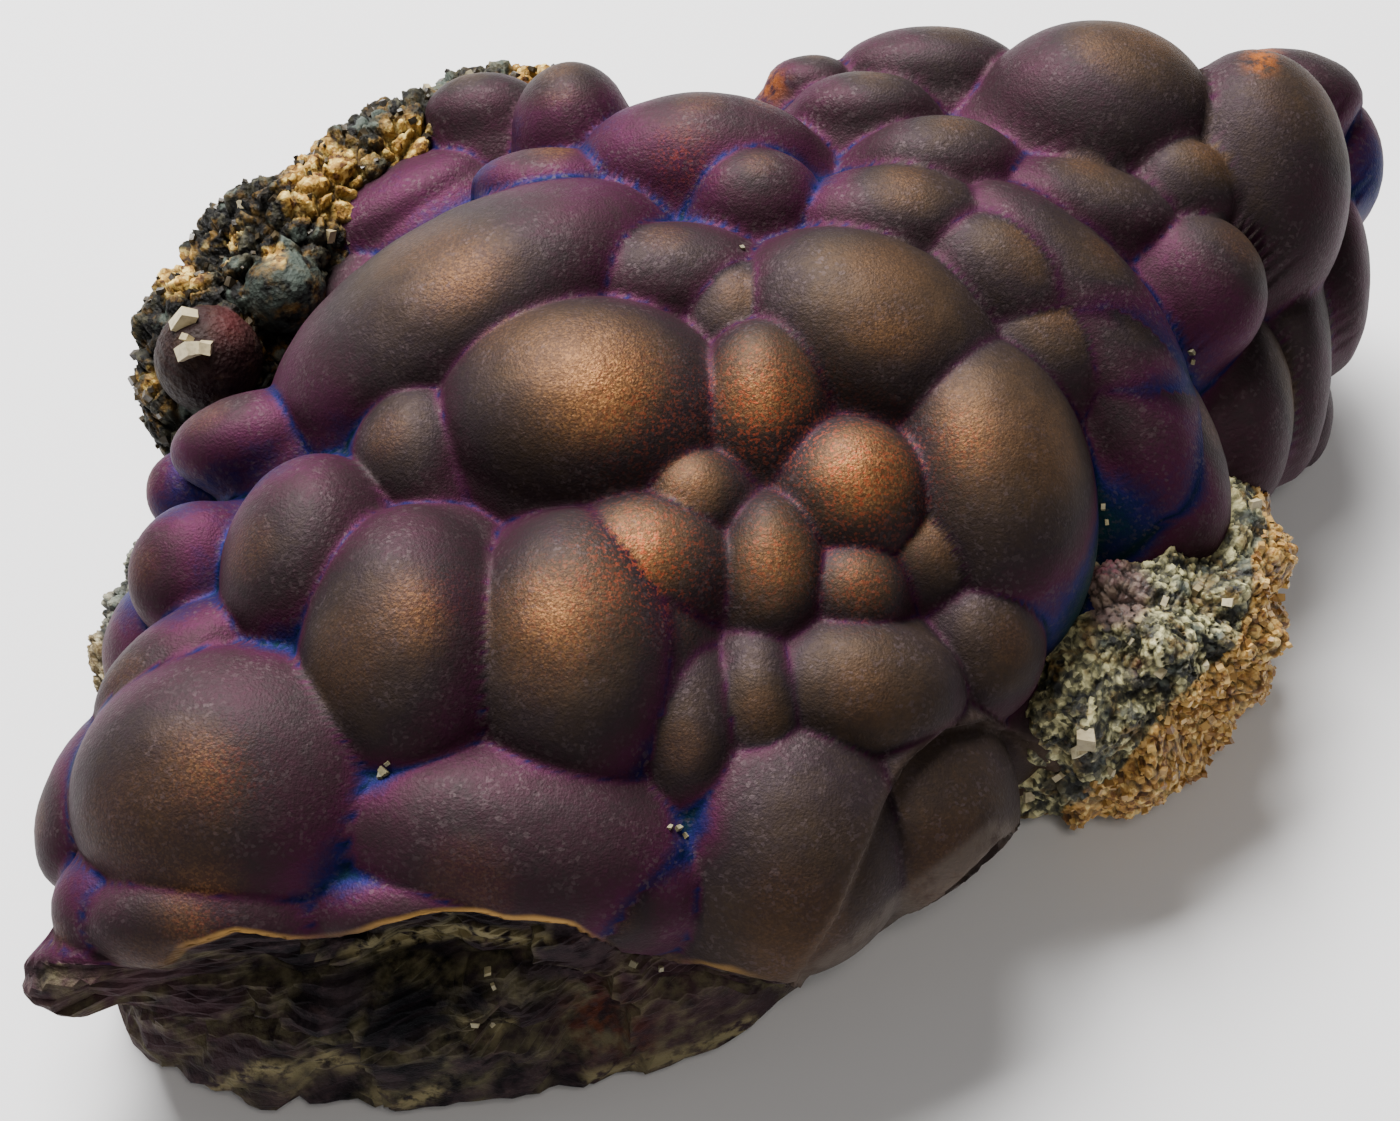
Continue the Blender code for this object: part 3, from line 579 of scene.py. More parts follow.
def grow_ore(directions):
    """The ore's fine surface in the given directions, with what its finish needs to know at each point.

    A point is the end of its growth line: the largest of the lobes' reaches, less the shell that is missing
    at the lower right, and no longer than the breaks and the underside allow.
    """
    start, along, length = growth_lines(directions)
    surface = start + along * length[:, None]
    seen = along @ VIEW_BACK
    floor = CREASE_DEPTH * side_share(along)
    for pixel_x, pixel_y, radius, depth in DIPS.values():
        floor = floor + depth * fade(surface, seat(pixel_x, pixel_y), radius)
    grown, highest, second, middle, tint = join_lobes(start, along, surface, length, floor)
    skin = start + along * grown[:, None]
    crown = np.clip((unit(skin - middle) * along).sum(-1), 0.0, 1.0)
    # The seams where two lobes meet, which the finish darkens with painted shade
    seam = np.exp(-((highest - second) / SEAM_WIDTH) ** 2)

    relief = noise_layers(0.0, skin, SKIN_RELIEF)
    shell = outline_depth(seen_pixels(skin), SHELL_OUTLINE)
    missing = smoothstep(-3.0, 5.0, shell) * (seen > SEEN_FROM)
    skin_length = grown + relief - SHELL_STEP * missing

    nearest, _, chip_value = chips(surface, CHIP_SIZE, 91)
    chip = CHIP_STEP * (chip_value * 0.5 + 0.35 * (nearest - 0.5))
    warped = surface + 1.2 * noise(surface, 4.0, 97)[:, None]
    slab_nearest, slab_second, slab_value = chips(warped, SLAB_SIZE, 93)
    slab = SLAB_STEP * (slab_value * 0.5 + 0.5 * (slab_nearest - 0.5))
    ledge_edge = np.exp(-((slab_second - slab_nearest) / 0.16) ** 2)
    cut, below = lip_cut(start + along * skin_length[:, None], along)
    bed = noise_layers(below, surface, BED_WAVES) / LAYER_PIXELS
    ledge = LAYER_STEP * (bed % 1.0 - 0.5) * smoothstep(4.0, 14.0, below)
    rough_cut = chip * smoothstep(12.0, 60.0, below) + slab * smoothstep(6.0, 30.0, below)
    rough_cut = rough_cut * smoothstep(-0.97, -0.80, along[:, 2])
    front = np.where(below > 0.0, skin_length - cut - ledge - rough_cut, 1e3)

    trial = np.full(len(grown), 1e3)
    for seed, (point, normal, rough) in enumerate(BREAKS.values()):
        trial = np.minimum(trial, break_length(start, along, point, normal, rough, 12 + seed, chip * 0.25))
    under = underside_length(start, along)
    ground = -start[:, 2] / np.minimum(along[:, 2], -1e-3)
    flat_foot = under <= np.where(along[:, 2] < -1e-3, ground, 1e3) + 1e-6
    trial = np.minimum(trial, under + np.where(flat_foot, 0.0, 0.35 * chip))

    bare = 1.0 - smoothstep(0.0, 0.4, highest - (length - floor))
    bare = bare * (1.0 - smoothstep(-0.05, 0.25, seen)) * side_share(along)
    skin_length = skin_length - bare * (0.7 * chip + 0.25 * slab + 0.4)
    final = np.minimum(skin_length, np.minimum(front, trial))
    cut_back = trial < skin_length
    broken = np.maximum(np.maximum(cut_back.astype(float), bare), smoothstep(-1.0, 5.0, below))
    whole = 1.0 - broken
    far_below = (cut_back | (bare > 0.2)) & (below < -20.0)
    return {
        "points": start + along * final[:, None], "along": along, "crown": crown, "lobe_tint": tint,
        "crease": highest - second, "sunk": length - grown, "broken": broken, "bed": bed,
        "below": np.where(far_below, 60.0, below), "seam": seam * whole, "shell": missing * whole,
        "shell_edge": np.exp(-(np.abs(shell) / 9.0) ** 2) * whole * (seen > SEEN_FROM),
        "ledge_edge": ledge_edge * broken,
    }


# Tarnish patches: pixel, radius in millimetres, and how far the film is thickened (blue-ward) or thinned
TARNISH_PATCHES = {
    "left_magenta": (130, 640, 17.0, 0.25),
    "left_red": (200, 480, 13.0, 0.26),
    "egg_magenta": (300, 520, 9.0, 0.16),
    "arch_magenta": (640, 235, 11.0, 0.19),
    "ridge_top_magenta": (450, 225, 12.0, 0.18),
    "back_red": (700, 130, 11.0, 0.24),
    "ridge_red": (430, 195, 12.0, 0.16),
    "right_red": (1175, 420, 8.0, 0.14),
    "lower_left_magenta": (90, 920, 12.0, 0.24),
    "lip_magenta": (430, 890, 9.0, 0.20),
    "pad_violet": (560, 830, 14.0, 0.12),
    "blue_pocket_left": (285, 640, 2.6, 0.34),
    "blue_pocket_low": (380, 780, 2.0, 0.34),
    "blue_pocket_lip": (345, 890, 2.8, 0.30),
    "blue_pocket_ridge": (345, 430, 3.0, 0.22),
    "teal_knee": (695, 825, 2.3, 0.40),
    "teal_valley": (1075, 600, 6.0, 0.66),
    "teal_right": (1110, 520, 4.5, 0.50),
    "teal_bead": (1165, 275, 6.0, 0.16),
    "teal_back": (1010, 150, 8.0, 0.12),
    "blue_back": (815, 180, 4.0, 0.26),
    "blue_edge": (1370, 170, 6.0, 0.40),
    "blue_tall": (1200, 360, 6.0, 0.10),
    # Thinner, bronze film where the central lobes catch the most light: painted highlight
    "highlight_bronze_centre": (800, 440, 17.0, -0.07),
    "highlight_bronze_belly": (600, 600, 12.0, -0.05),
    "highlight_bronze_crown": (600, 395, 10.0, -0.06),
    "highlight_bronze_right": (1000, 440, 9.0, -0.03),
}
# Golden lobe tops with a painted highlight on them: pixel, radius in pixels, strength
GOLD_HIGHLIGHT_SPOTS = {
    "crown": (616, 404, 74, 1.0), "ridge_left": (474, 292, 54, 0.6), "brow": (885, 368, 56, 0.8),
    "bead_gold": (860, 480, 50, 0.85), "bead_centre": (762, 405, 44, 0.8), "belly": (556, 614, 46, 0.7),
    "belly_top": (640, 562, 44, 0.8), "cheek": (432, 608, 46, 0.7), "shoulder": (958, 440, 50, 0.6),
    "button": (700, 492, 34, 0.2), "bead_low": (778, 560, 36, 0.5), "ball_back": (567, 128, 30, 1.0),
    "dome_back": (1065, 90, 60, 0.7), "dome_right": (1244, 124, 44, 0.45), "dome_left": (208, 768, 52, 0.5),
    "front_left": (212, 910, 48, 0.8), "red_bead": (682, 155, 30, 0.4), "small": (862, 585, 30, 0.3),
    "lip": (285, 932, 24, 0.4), "back": (905, 205, 40, 0.25), "back_low": (1030, 285, 36, 0.25),
}
# Speckled lobe tops with painted red glints on them: pixel, radius in pixels, strength
RED_GLINT_SPOTS = {
    "bead_centre": (764, 410, 48, 1.0), "bead_gold": (862, 480, 55, 0.9), "belly_top": (650, 560, 50, 0.9),
    "belly": (565, 610, 50, 0.25), "crown": (645, 415, 50, 0.5), "bead_low": (775, 560, 36, 0.5),
    "small": (865, 585, 32, 0.4), "dome_left": (222, 775, 36, 0.2), "front_left": (200, 925, 30, 0.2),
    "cheek": (440, 600, 30, 0.15), "red_bead": (680, 160, 26, 0.4), "shoulder": (965, 440, 30, 0.3),
}
# Single crystals: pixel, size in millimetres
CRUST_CRYSTALS = {
    "ball_upper": (186, 322, 1.5), "ball_lower": (190, 349, 1.3), "ball_side": (204, 347, 1.2),
    "ball_middle": (188, 336, 0.7), "upper": (395, 205, 0.8), "upper_right": (405, 207, 0.6),
    "inner": (328, 235, 0.8), "end": (602, 88, 1.0), "end_low": (606, 96, 0.8), "top": (425, 88, 0.7),
    "top_right": (470, 76, 0.6), "top_end": (590, 56, 0.7), "outer": (240, 205, 0.6),
}
BLOCK_CRYSTALS = {
    "tan": (1085, 737, 1.3), "tan_low": (1079, 750, 1.0), "green": (1150, 560, 0.8),
    "glassy_1": (1180, 545, 0.8), "glassy_2": (1215, 500, 0.9), "glassy_3": (1165, 600, 0.7),
    "glassy_4": (1198, 590, 0.8), "glassy_5": (1130, 640, 0.7), "edge_1": (1255, 505, 0.8),
    "edge_2": (1160, 672, 0.8), "edge_3": (1205, 665, 0.7), "low_1": (1030, 795, 0.7),
    "low_2": (1060, 775, 0.7), "low_3": (1110, 770, 0.7), "edge_4": (1230, 600, 0.8),
}
CREASE_CRYSTALS = {
    "left": (382, 768, 0.60), "left_low": (379, 774, 0.45), "knee": (680, 830, 0.60),
    "knee_low": (686, 836, 0.45), "knee_side": (672, 826, 0.35), "back": (745, 248, 0.45),
    "right": (1190, 350, 0.50), "right_low": (1194, 358, 0.35), "valley": (1102, 505, 0.40),
    "valley_low": (1108, 520, 0.35), "left_side": (388, 762, 0.35), "glint_1": (487, 968, 0.5),
    "glint_2": (495, 985, 0.4), "glint_3": (478, 1022, 0.5), "glint_4": (492, 1035, 0.45),
    "glint_5": (632, 962, 0.4), "glint_6": (660, 968, 0.35),
}
# Stains of the crust and the rim, then colours of the ore and painted shade in its hollows: pixel, radius in
# pixels, strength
RED_PATCHES = {"ball": (228, 322, 20, 0.9)}
OCHRE_SPOTS = {
    "rim_lump": (92, 672, 26, 1.6), "upper": (325, 186, 42, 1.3), "left": (178, 276, 26, 0.9),
    "top": (408, 142, 24, 1.0), "end": (530, 68, 24, 0.9), "foot": (150, 380, 24, 0.6),
    "between": (225, 240, 22, 0.5), "middle": (275, 258, 14, 1.0),
}
WARM_SPOTS = {"tip": (110, 1000, 90, 1.0), "right": (665, 1000, 90, 0.8), "left": (230, 1020, 50, 0.4)}
RUST_SPOTS = {"right": (597, 1018, 30, 1.0), "right_low": (640, 1040, 24, 0.5), "foot": (480, 1040, 14, 0.4)}
ORANGE_SPOTS = {"back": (768, 84, 14, 1.0), "rim": (1262, 57, 13, 1.0), "low": (600, 1022, 12, 0.6)}
LIP_GOLD = {
    "left": (245, 932, 55, 1.0), "middle": (400, 918, 45, 0.9), "middle_right": (490, 910, 60, 1.0),
    "right": (560, 925, 30, 0.8), "far_right": (720, 970, 30, 0.5),
}
# Painted shade in the hollows of the broken front
HOLLOW_SHADE_SPOTS = {"wide": (405, 985, 85, 1.0), "right": (555, 1010, 50, 0.7), "left": (240, 1000, 60, 0.4)}
# Pale rims of the broken layers and the ridge of the lower right face, as paths of pixels
PALE_RIM_PATHS = [
    [(155, 1095), (200, 1101), (236, 1078), (262, 1066), (300, 1074), (330, 1056), (352, 1066)],
    [(375, 1096), (408, 1103), (436, 1090)], [(352, 952), (400, 938), (452, 930), (545, 941)],
    [(470, 1020), (492, 1032), (505, 1022)], [(590, 1078), (640, 1066), (700, 1048), (752, 1022)],
]
BEVEL_PATH = [(800, 990), (850, 955), (905, 905), (955, 868), (1000, 832)]
# Thickness of the film on a crown, and how much thicker it is on flanks, in creases and in hollows
FILM_CROWN = 0.11
FILM_FLANK = 0.13
FILM_CREASE = 0.36
FILM_HOLLOW = 0.10
# Directions in which the film is thicker on the flanks, and by how much: painted shade on flanks facing
# the lower right, away from the key lamp, and its painted sheen on flanks facing the upper left
FLANK_SHADE_AND_SHEEN = [(unit(np.array([0.75, -0.45, -0.30])), 0.18), (unit(np.array([-0.70, 0.55, 0.15])), 0.16)]
# Unevenness of the film: the share of each lobe's own tint, and noise layers as height, size and seed
LOBE_TINT = 0.03
FILM_WAVES = [(0.05, 9.0, 101), (0.03, 3.0, 102)]


def spots(pixels, table):
    """Sum of round spots, each fading away from its pixel."""
    total = np.zeros(len(pixels))
    for pixel_x, pixel_y, radius, strength in table.values():
        total = total + strength * fade(pixels, (pixel_x, pixel_y), radius)
    return total


def spot_share(pixels, table):
    """The sum of spots, held between 0 and 1."""
    return np.clip(spots(pixels, table), 0.0, 1.0)


def ore_film(grown, normals):
    """Thickness of the tarnish film, 0 bronze to 1 teal.

    It is thin on the crowns of lobes, thick in creases and hollows, thicker again on the flanks that face
    the lower right, as painted shade, and the upper left, as the key lamp's painted sheen, and shifted by
    each lobe and patch; the bronze patches are painted highlight.
    """
    points = grown["points"]
    flank = 1.0 - smoothstep(0.66, 0.97, grown["crown"])
    crease = np.exp(-np.maximum(grown["crease"], 0.0) / 0.4) * smoothstep(0.0, 0.5, flank)
    deep = smoothstep(0.2, 2.2, grown["sunk"])
    film = FILM_CROWN + FILM_FLANK * flank + FILM_CREASE * crease + FILM_HOLLOW * deep
    # Painted shade on flanks turned from the key lamp, and its painted sheen on flanks turned to it
    for direction, share in FLANK_SHADE_AND_SHEEN:
        film = film + share * np.maximum(normals @ direction, 0.0) * flank
    film = noise_layers(film + LOBE_TINT * grown["lobe_tint"], points, FILM_WAVES)
    for pixel_x, pixel_y, radius, shift in TARNISH_PATCHES.values():
        film = film + shift * fade(points, seat(pixel_x, pixel_y), radius)
    film = film * (1.0 - 0.5 * grown["shell"]) + 0.08 * grown["shell"] - 0.06 * grown["shell_edge"]
    return np.clip(film, 0.0, 1.0)


def cube_grid(count):
    """Unit directions and four-sided faces of a cube with count cuts each way, welded at its edges."""
    ticks = np.tan(np.linspace(-math.pi / 4.0, math.pi / 4.0, count + 1))
    first, second = np.meshgrid(ticks, ticks, indexing="ij")
    one = np.ones_like(first)
    faces = [(one, first, second), (-one, second, first), (second, one, first),
             (first, -one, second), (first, second, one), (second, first, -one)]
    points = np.concatenate([np.stack(face, -1).reshape(-1, 3) for face in faces])
    places, index = np.unique(np.round(points, 7), axis=0, return_inverse=True)
    index = index.reshape(6, count + 1, count + 1)
    corner = [index[:, :-1, :-1], index[:, 1:, :-1], index[:, 1:, 1:], index[:, :-1, 1:]]
    quads = np.stack([item.ravel() for item in corner], -1)
    return unit(places), quads


def face_spreads(points, faces):
    """Cross product of each face's diagonals, or of two sides of a triangle."""
    return np.cross(points[faces[:, 2]] - points[faces[:, 0]], points[faces[:, -1]] - points[faces[:, 1]])


def mesh_normals(points, faces):
    """Area-weighted outward normal of each point from its faces."""
    spread = face_spreads(points, faces)
    total = np.zeros_like(points)
    for column in range(faces.shape[1]):
        np.add.at(total, faces[:, column], spread)
    return unit(total)


def add_object(name, data):
    """An object with this data, linked into the scene."""
    item = bpy.data.objects.new(name, data)
    bpy.context.scene.collection.objects.link(item)
    return item


def build_mesh(name, points, faces, smooth, values):
    """A mesh object from arrays: points in millimetres, faces, smooth flags, and values at its points."""
    mesh = bpy.data.meshes.new(name)
    count, sides = faces.shape
    mesh.vertices.add(len(points))
    mesh.loops.add(count * sides)
    mesh.polygons.add(count)
    mesh.vertices.foreach_set("co", ((points - SHIFT) * METRE).astype(np.float32).ravel())
    mesh.loops.foreach_set("vertex_index", faces.astype(np.int32).ravel())
    mesh.polygons.foreach_set("loop_start", np.arange(0, count * sides, sides, dtype=np.int32))
    mesh.polygons.foreach_set("use_smooth", np.full(count, smooth))
    for key, value in values.items():
        layer = mesh.attributes.new(key, "FLOAT", "POINT")
        layer.data.foreach_set("value", value.astype(np.float32))
    mesh.update(calc_edges=True)
    mesh.validate()
    return add_object(name, mesh)


def lifted(directions):
    """Directions raised by a fixed step, which crowds them towards the top and thins them on the foot."""
    return unit(directions + np.array([0.0, 0.0, GRID_LIFT]))


def specimen_shift():
    """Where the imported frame's origin lies in the shape's own millimetres, from the ore's lowest and highest
    corners on the solid's grid."""
    low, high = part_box("chalcopyrite_mass")
    grown = grow_ore(cube_grid(SOLID_GRID)[0])["points"]
    own_low, own_high = grown.min(0), grown.max(0)
    packed = (np.array(low) + np.array(high)) / 2.0 / METRE
    shift = (own_low + own_high) / 2.0 - packed
    shift[2] = own_low[2] - low[2] / METRE
    return shift


def rock_relief(points, outward, grain_size, grain_height, seed):
    """Rock grains: each cell of a cellular pattern is a small tilted facet, with gaps between the grains."""
    nearest, second, value = chips(points, grain_size, seed)
    gap = 1.0 - smoothstep(0.02, 0.22, second - nearest)
    height = grain_height * (value * 0.6 - gap + 0.4 * (0.6 - nearest))
    fine_nearest, fine_second, fine_value = chips(points, grain_size * 0.4, seed + 20)
    fine = 0.25 * grain_height * (fine_value - (1.0 - smoothstep(0.0, 0.25, fine_second - fine_nearest)))
    return points + outward * (height + fine)[:, None], value, fine_value, gap


def grow_block(directions):
    """The matrix block along the ore's right edge: a blunt box, whose shares of its half sizes, each to a
    power, add up to 1, turned and moved outwards by noise, lumps, swells and grains."""
    size = (np.abs(directions / BLOCK_HALF) ** BLOCK_ROUND).sum(-1) ** (-1.0 / BLOCK_ROUND)
    local = directions * size[:, None]
    cosine, sine = math.cos(BLOCK_TURN), math.sin(BLOCK_TURN)
    turned = np.stack([local[:, 0] * cosine - local[:, 1] * sine,
                       local[:, 0] * sine + local[:, 1] * cosine, local[:, 2]], -1)
    rough = BLOCK_ROUGH * noise_layers(0.0, turned, BLOCK_WAVES)
    outward = unit(turned)
    rough = rough + BLOCK_LUMPS * noise_layers(0.0, turned, BLOCK_LUMP_WAVES)
    rough = rough + spots(seen_pixels(BLOCK_CENTRE + turned + outward * rough[:, None]), BLOCK_SWELLS)
    place = BLOCK_CENTRE + turned + outward * rough[:, None]
    placed, grain, fine, gap = rock_relief(place, outward, *BLOCK_GRAIN, 121)
    placed[:, 2] = np.maximum(placed[:, 2], BLOCK_LOWEST)
    grey = noise_layers(outline_depth(seen_pixels(placed), GREY_ZONE), turned, GREY_WAVES)
    return placed, {"grain": grain, "fine": fine, "gap": gap, "ochre": 1.0 - smoothstep(-12.0, 12.0, grey)}


def grow_vein(directions, path, radii, balls, seed, grain_size, grain_height):
    """A rough vein along a path: the sphere's height runs along the path, its rings go round it, and the
    balls swell out of it."""
    path, radii = np.array(path, float), np.array(radii, float)
    run = np.concatenate([[0.0], np.cumsum(np.linalg.norm(np.diff(path, axis=0), axis=-1))])

    def on_path(distance):
        return np.stack([np.interp(distance, run, path[:, axis]) for axis in range(3)], -1)

    along = (directions[:, 2] + 1.0) * 0.5 * run[-1]
    centre = on_path(along)
    tangent = unit(on_path(along + 1.5) - on_path(along - 1.5))
    side = unit(np.cross(tangent, np.array([0.0, 0.0, 1.0])))
    rise = np.cross(side, tangent)
    blunt = np.maximum(1.0 - np.abs(directions[:, 2]) ** 3, 0.0) ** (1.0 / 3.0)
    outward = unit(side * directions[:, :1] + rise * directions[:, 1:2])
    surface = centre + outward * (np.interp(along, run, radii) * blunt)[:, None]
    rough = CRUST_ROUGH * (noise(surface, 4.5, seed) + 0.5 * noise(surface, 2.2, seed + 1)) * blunt
    length = np.interp(along, run, radii) * blunt + rough
    ball = np.zeros(len(length))
    for number, (ball_centre, radius) in enumerate(balls.values()):
        reach = lobe_reach(centre, outward, np.array(ball_centre), np.eye(3) / radius)
        wins = (blunt > 0.5) & (reach > length)
        length = np.where(wins, reach, length)
        ball = np.where(wins, number + 1.0, ball)
    placed = centre + outward * length[:, None]
    grained, grain, fine, gap = rock_relief(placed, outward, grain_size, grain_height, seed + 30)
    calm = np.where(ball > 0.5, 0.12, 1.0)[:, None]
    placed = placed + (grained - placed) * calm * blunt[:, None]
    return placed, {"grain": grain, "fine": fine, "gap": gap * calm[:, 0], "ball": ball}


def vein_grid(rings, spokes):
    """Unit directions and triangles of a sphere with rings evenly spaced in height and closed poles."""
    height = np.linspace(-1.0, 1.0, rings + 2)[1:-1]
    turn = np.linspace(0.0, 2.0 * math.pi, spokes, endpoint=False)
    level, angle = np.meshgrid(height, turn, indexing="ij")
    width = np.sqrt(1.0 - level ** 2)
    body = np.stack([width * np.cos(angle), width * np.sin(angle), level], -1).reshape(-1, 3)
    poles = np.array([[1e-4, 0.0, -1.0], [1e-4, 0.0, 1.0]])
    index = np.arange(rings * spokes).reshape(rings, spokes)
    beside = np.roll(index, -1, axis=1)
    sides = np.stack([index[:-1].ravel(), beside[:-1].ravel(), beside[1:].ravel(), index[1:].ravel()], -1)
    sides = np.concatenate([sides[:, [0, 1, 2]], sides[:, [0, 2, 3]]])
    first, last = rings * spokes, rings * spokes + 1
    low = np.stack([np.full(spokes, first), beside[0], index[0]], -1)
    high = np.stack([np.full(spokes, last), index[-1], beside[-1]], -1)
    return np.concatenate([body, poles]), np.concatenate([sides, low, high])


def crystal_blocks(places, normals, sizes, seed):
    """Small cleaved blocks: a cube's 8 corners sheared, stretched and shaken at random, then turned onto a
    random direction, one square to it and the normal, and a third square to both."""
    random = np.random.default_rng(seed)
    count = len(places)
    corner = np.array([[x, y, z] for x in (-1, 1) for y in (-1, 1) for z in (-1, 1)], float) * 0.5
    corner[:, 0] += 0.25 * corner[:, 2]
    forms = corner[None] * random.uniform(0.65, 1.25, (count, 1, 3)) + random.normal(0, 0.05, (count, 8, 3))
    spin = unit(random.normal(size=(count, 3)))
    lean = unit(np.cross(spin, normals))
    third = np.cross(spin, lean)
    turned = forms[..., :1] * spin[:, None] + forms[..., 1:2] * lean[:, None]
    turned = turned + forms[..., 2:] * third[:, None]
    points = places[:, None] + turned * sizes[:, None, None]
    square = [(0, 1, 3, 2), (4, 6, 7, 5), (0, 4, 5, 1), (2, 3, 7, 6), (0, 2, 6, 4), (1, 5, 7, 3)]
    faces = (np.array(square)[None] + 8 * np.arange(count)[:, None, None]).reshape(-1, 4)
    flat = points.reshape(-1, 3)
    centre = flat[faces].mean(1) - np.repeat(points.mean(1), 6, axis=0)
    inward = (face_spreads(flat, faces) * centre).sum(-1) < 0.0
    faces[inward] = faces[inward][:, ::-1]
    return flat, faces, np.repeat(random.uniform(0.0, 1.0, count), 8)


def outward_faces(points, faces, outward):
    """Turns every face round if the surface as a whole points inwards."""
    normals = mesh_normals(points, faces)
    return faces if (normals * outward).sum() > 0.0 else faces[:, ::-1]


class Socket:
    """A number or colour in a material's nodes, with the arithmetic written as Python operators."""

    def __init__(self, finish, link):
        self.finish = finish
        self.link = link

    def _math(self, operation, *values):
        return self.finish.node("ShaderNodeMath", {"operation": operation}, dict(enumerate(values)))

    def __add__(self, other):
        return self._math("ADD", self, other)

    def __radd__(self, other):
        return self._math("ADD", other, self)

    def __sub__(self, other):
        return self._math("SUBTRACT", self, other)

    def __rsub__(self, other):
        return self._math("SUBTRACT", other, self)

    def __mul__(self, other):
        return self._math("MULTIPLY", self, other)

    def __rmul__(self, other):
        return self._math("MULTIPLY", other, self)

    def step(self, low, high):
        """0 below low, 1 above high, and a smooth rise between them."""
        settings = {"interpolation_type": "SMOOTHSTEP"}
        inputs = {"Value": self, "From Min": low, "From Max": high}
        return self.finish.node("ShaderNodeMapRange", settings, inputs)


class Finish:
    """One procedural material: a Principled shader and the nodes that feed it."""

    def __init__(self, name):
        self.material = bpy.data.materials.new(name)
        self.material.use_nodes = True
        self.tree = self.material.node_tree
        self.shader = self.tree.nodes["Principled BSDF"]
        self.place = self.node("ShaderNodeTexCoord", output="Object")

    def node(self, kind, settings=None, inputs=None, output=0):
        """Makes a node, its settings first and then the values or links of its sockets."""
        made = self.tree.nodes.new(kind)
        for key, value in (settings or {}).items():
            if key == "stops":
                while len(made.color_ramp.elements) < len(value):
                    made.color_ramp.elements.new(0.5)
                for element, (position, colour) in zip(made.color_ramp.elements, value):
                    element.position = position
                    element.color = (*colour, 1.0)
            else:
                setattr(made, key, value)
        for key, value in (inputs or {}).items():
            self.feed(made.inputs[key], value)
        return Socket(self, made.outputs[output])

    def feed(self, socket, value):
        """Links a socket, or sets its number or its colour."""
        if isinstance(value, Socket):
            self.tree.links.new(value.link, socket)
        elif socket.type == "RGBA":
            socket.default_value = (*value, 1.0)
        else:
            socket.default_value = value

    def value(self, name):
        """One of the values that the mesh carries at its points."""
        return self.node("ShaderNodeAttribute", {"attribute_name": name}, output="Fac")

    def noise(self, size, detail=3.0, rough=0.55):
        """Smooth noise from 0 to 1 whose lumps are about size millimetres across."""
        inputs = {"Vector": self.place, "Scale": 1.0 / (size * METRE), "Detail": detail, "Roughness": rough}
        return self.node("ShaderNodeTexNoise", {}, inputs)

    def cells(self, size, output="Distance"):
        """Cellular pattern: distance to the nearest scattered point, or that point's colour."""
        inputs = {"Vector": self.place, "Scale": 1.0 / (size * METRE)}
        return self.node("ShaderNodeTexVoronoi", {}, inputs, output)

    def cell_value(self, size):
        """One random number from 0 to 1 for each cell."""
        colour = self.cells(size, output="Color")
        return self.node("ShaderNodeSeparateColor", {}, {"Color": colour}, "Red")

    def patchy(self, name, size, detail, low, high):
        """One of the mesh's values, broken up by noise that counts as 0 below low and as 1 above high."""
        return self.value(name) * self.noise(size, detail).step(low, high)

    def ramp(self, factor, stops):
        """Colour for a number, from colours at stops."""
        return self.node("ShaderNodeValToRGB", {"stops": stops}, {"Fac": factor}, "Color")

    def mix(self, factor, first, second, blend="MIX"):
        """The first colour at 0 and the second, blended onto it, at 1."""
        settings = {"data_type": "RGBA", "blend_type": blend}
        return self.node("ShaderNodeMix", settings, {0: factor, 6: first, 7: second}, 2)

    def bump(self, layers):
        """Bumps laid over one another: (height socket, millimetres high) pairs."""
        normal = None
        for height, deep in layers:
            inputs = {"Height": height, "Strength": 1.0, "Distance": deep * METRE}
            if normal:
                inputs["Normal"] = normal
            normal = self.node("ShaderNodeBump", {}, inputs)
        return normal

    def finish(self, **sockets):
        """Feeds the shader and returns the material."""
        names = {"colour": "Base Color", "rough": "Roughness", "metal": "Metallic", "normal": "Normal",
                 "shine": "Specular IOR Level"}
        for key, value in sockets.items():
            self.feed(self.shader.inputs[names[key]], value)
        return self.material


# Colours of the tarnish film from thin to thick, and of the broken ore from black to its lightest grain
FILM_COLOURS = [
    (0.00, (0.060, 0.037, 0.023)), (0.13, (0.036, 0.025, 0.020)), (0.27, (0.027, 0.019, 0.021)),
    (0.40, (0.036, 0.016, 0.023)), (0.54, (0.052, 0.012, 0.032)), (0.64, (0.032, 0.013, 0.046)),
    (0.76, (0.012, 0.012, 0.075)), (0.88, (0.005, 0.014, 0.044)), (1.00, (0.005, 0.026, 0.032)),
]
STONE_COLOURS = [
    (0.26, (0.0012, 0.0012, 0.0022)), (0.40, (0.009, 0.007, 0.009)), (0.52, (0.031, 0.020, 0.023)),
    (0.64, (0.064, 0.041, 0.040)), (0.82, (0.135, 0.100, 0.074)),
]
# Layers over the broken ore: value, size and detail of its noise, where that rises, strength and colour
STONE_LAYERS = [
    ("warm", 1.5, 4.0, 0.25, 0.60, 0.80, (0.050, 0.022, 0.028)),
    ("rust", 1.0, 4.0, 0.35, 0.65, 1.00, (0.075, 0.018, 0.008)),
    ("pale_rim", 1.1, 4.0, 0.35, 0.55, 0.85, (0.220, 0.185, 0.095)),
    ("ledge_edge", 1.3, 4.0, 0.30, 0.70, 0.75, (0.120, 0.105, 0.058)),
]
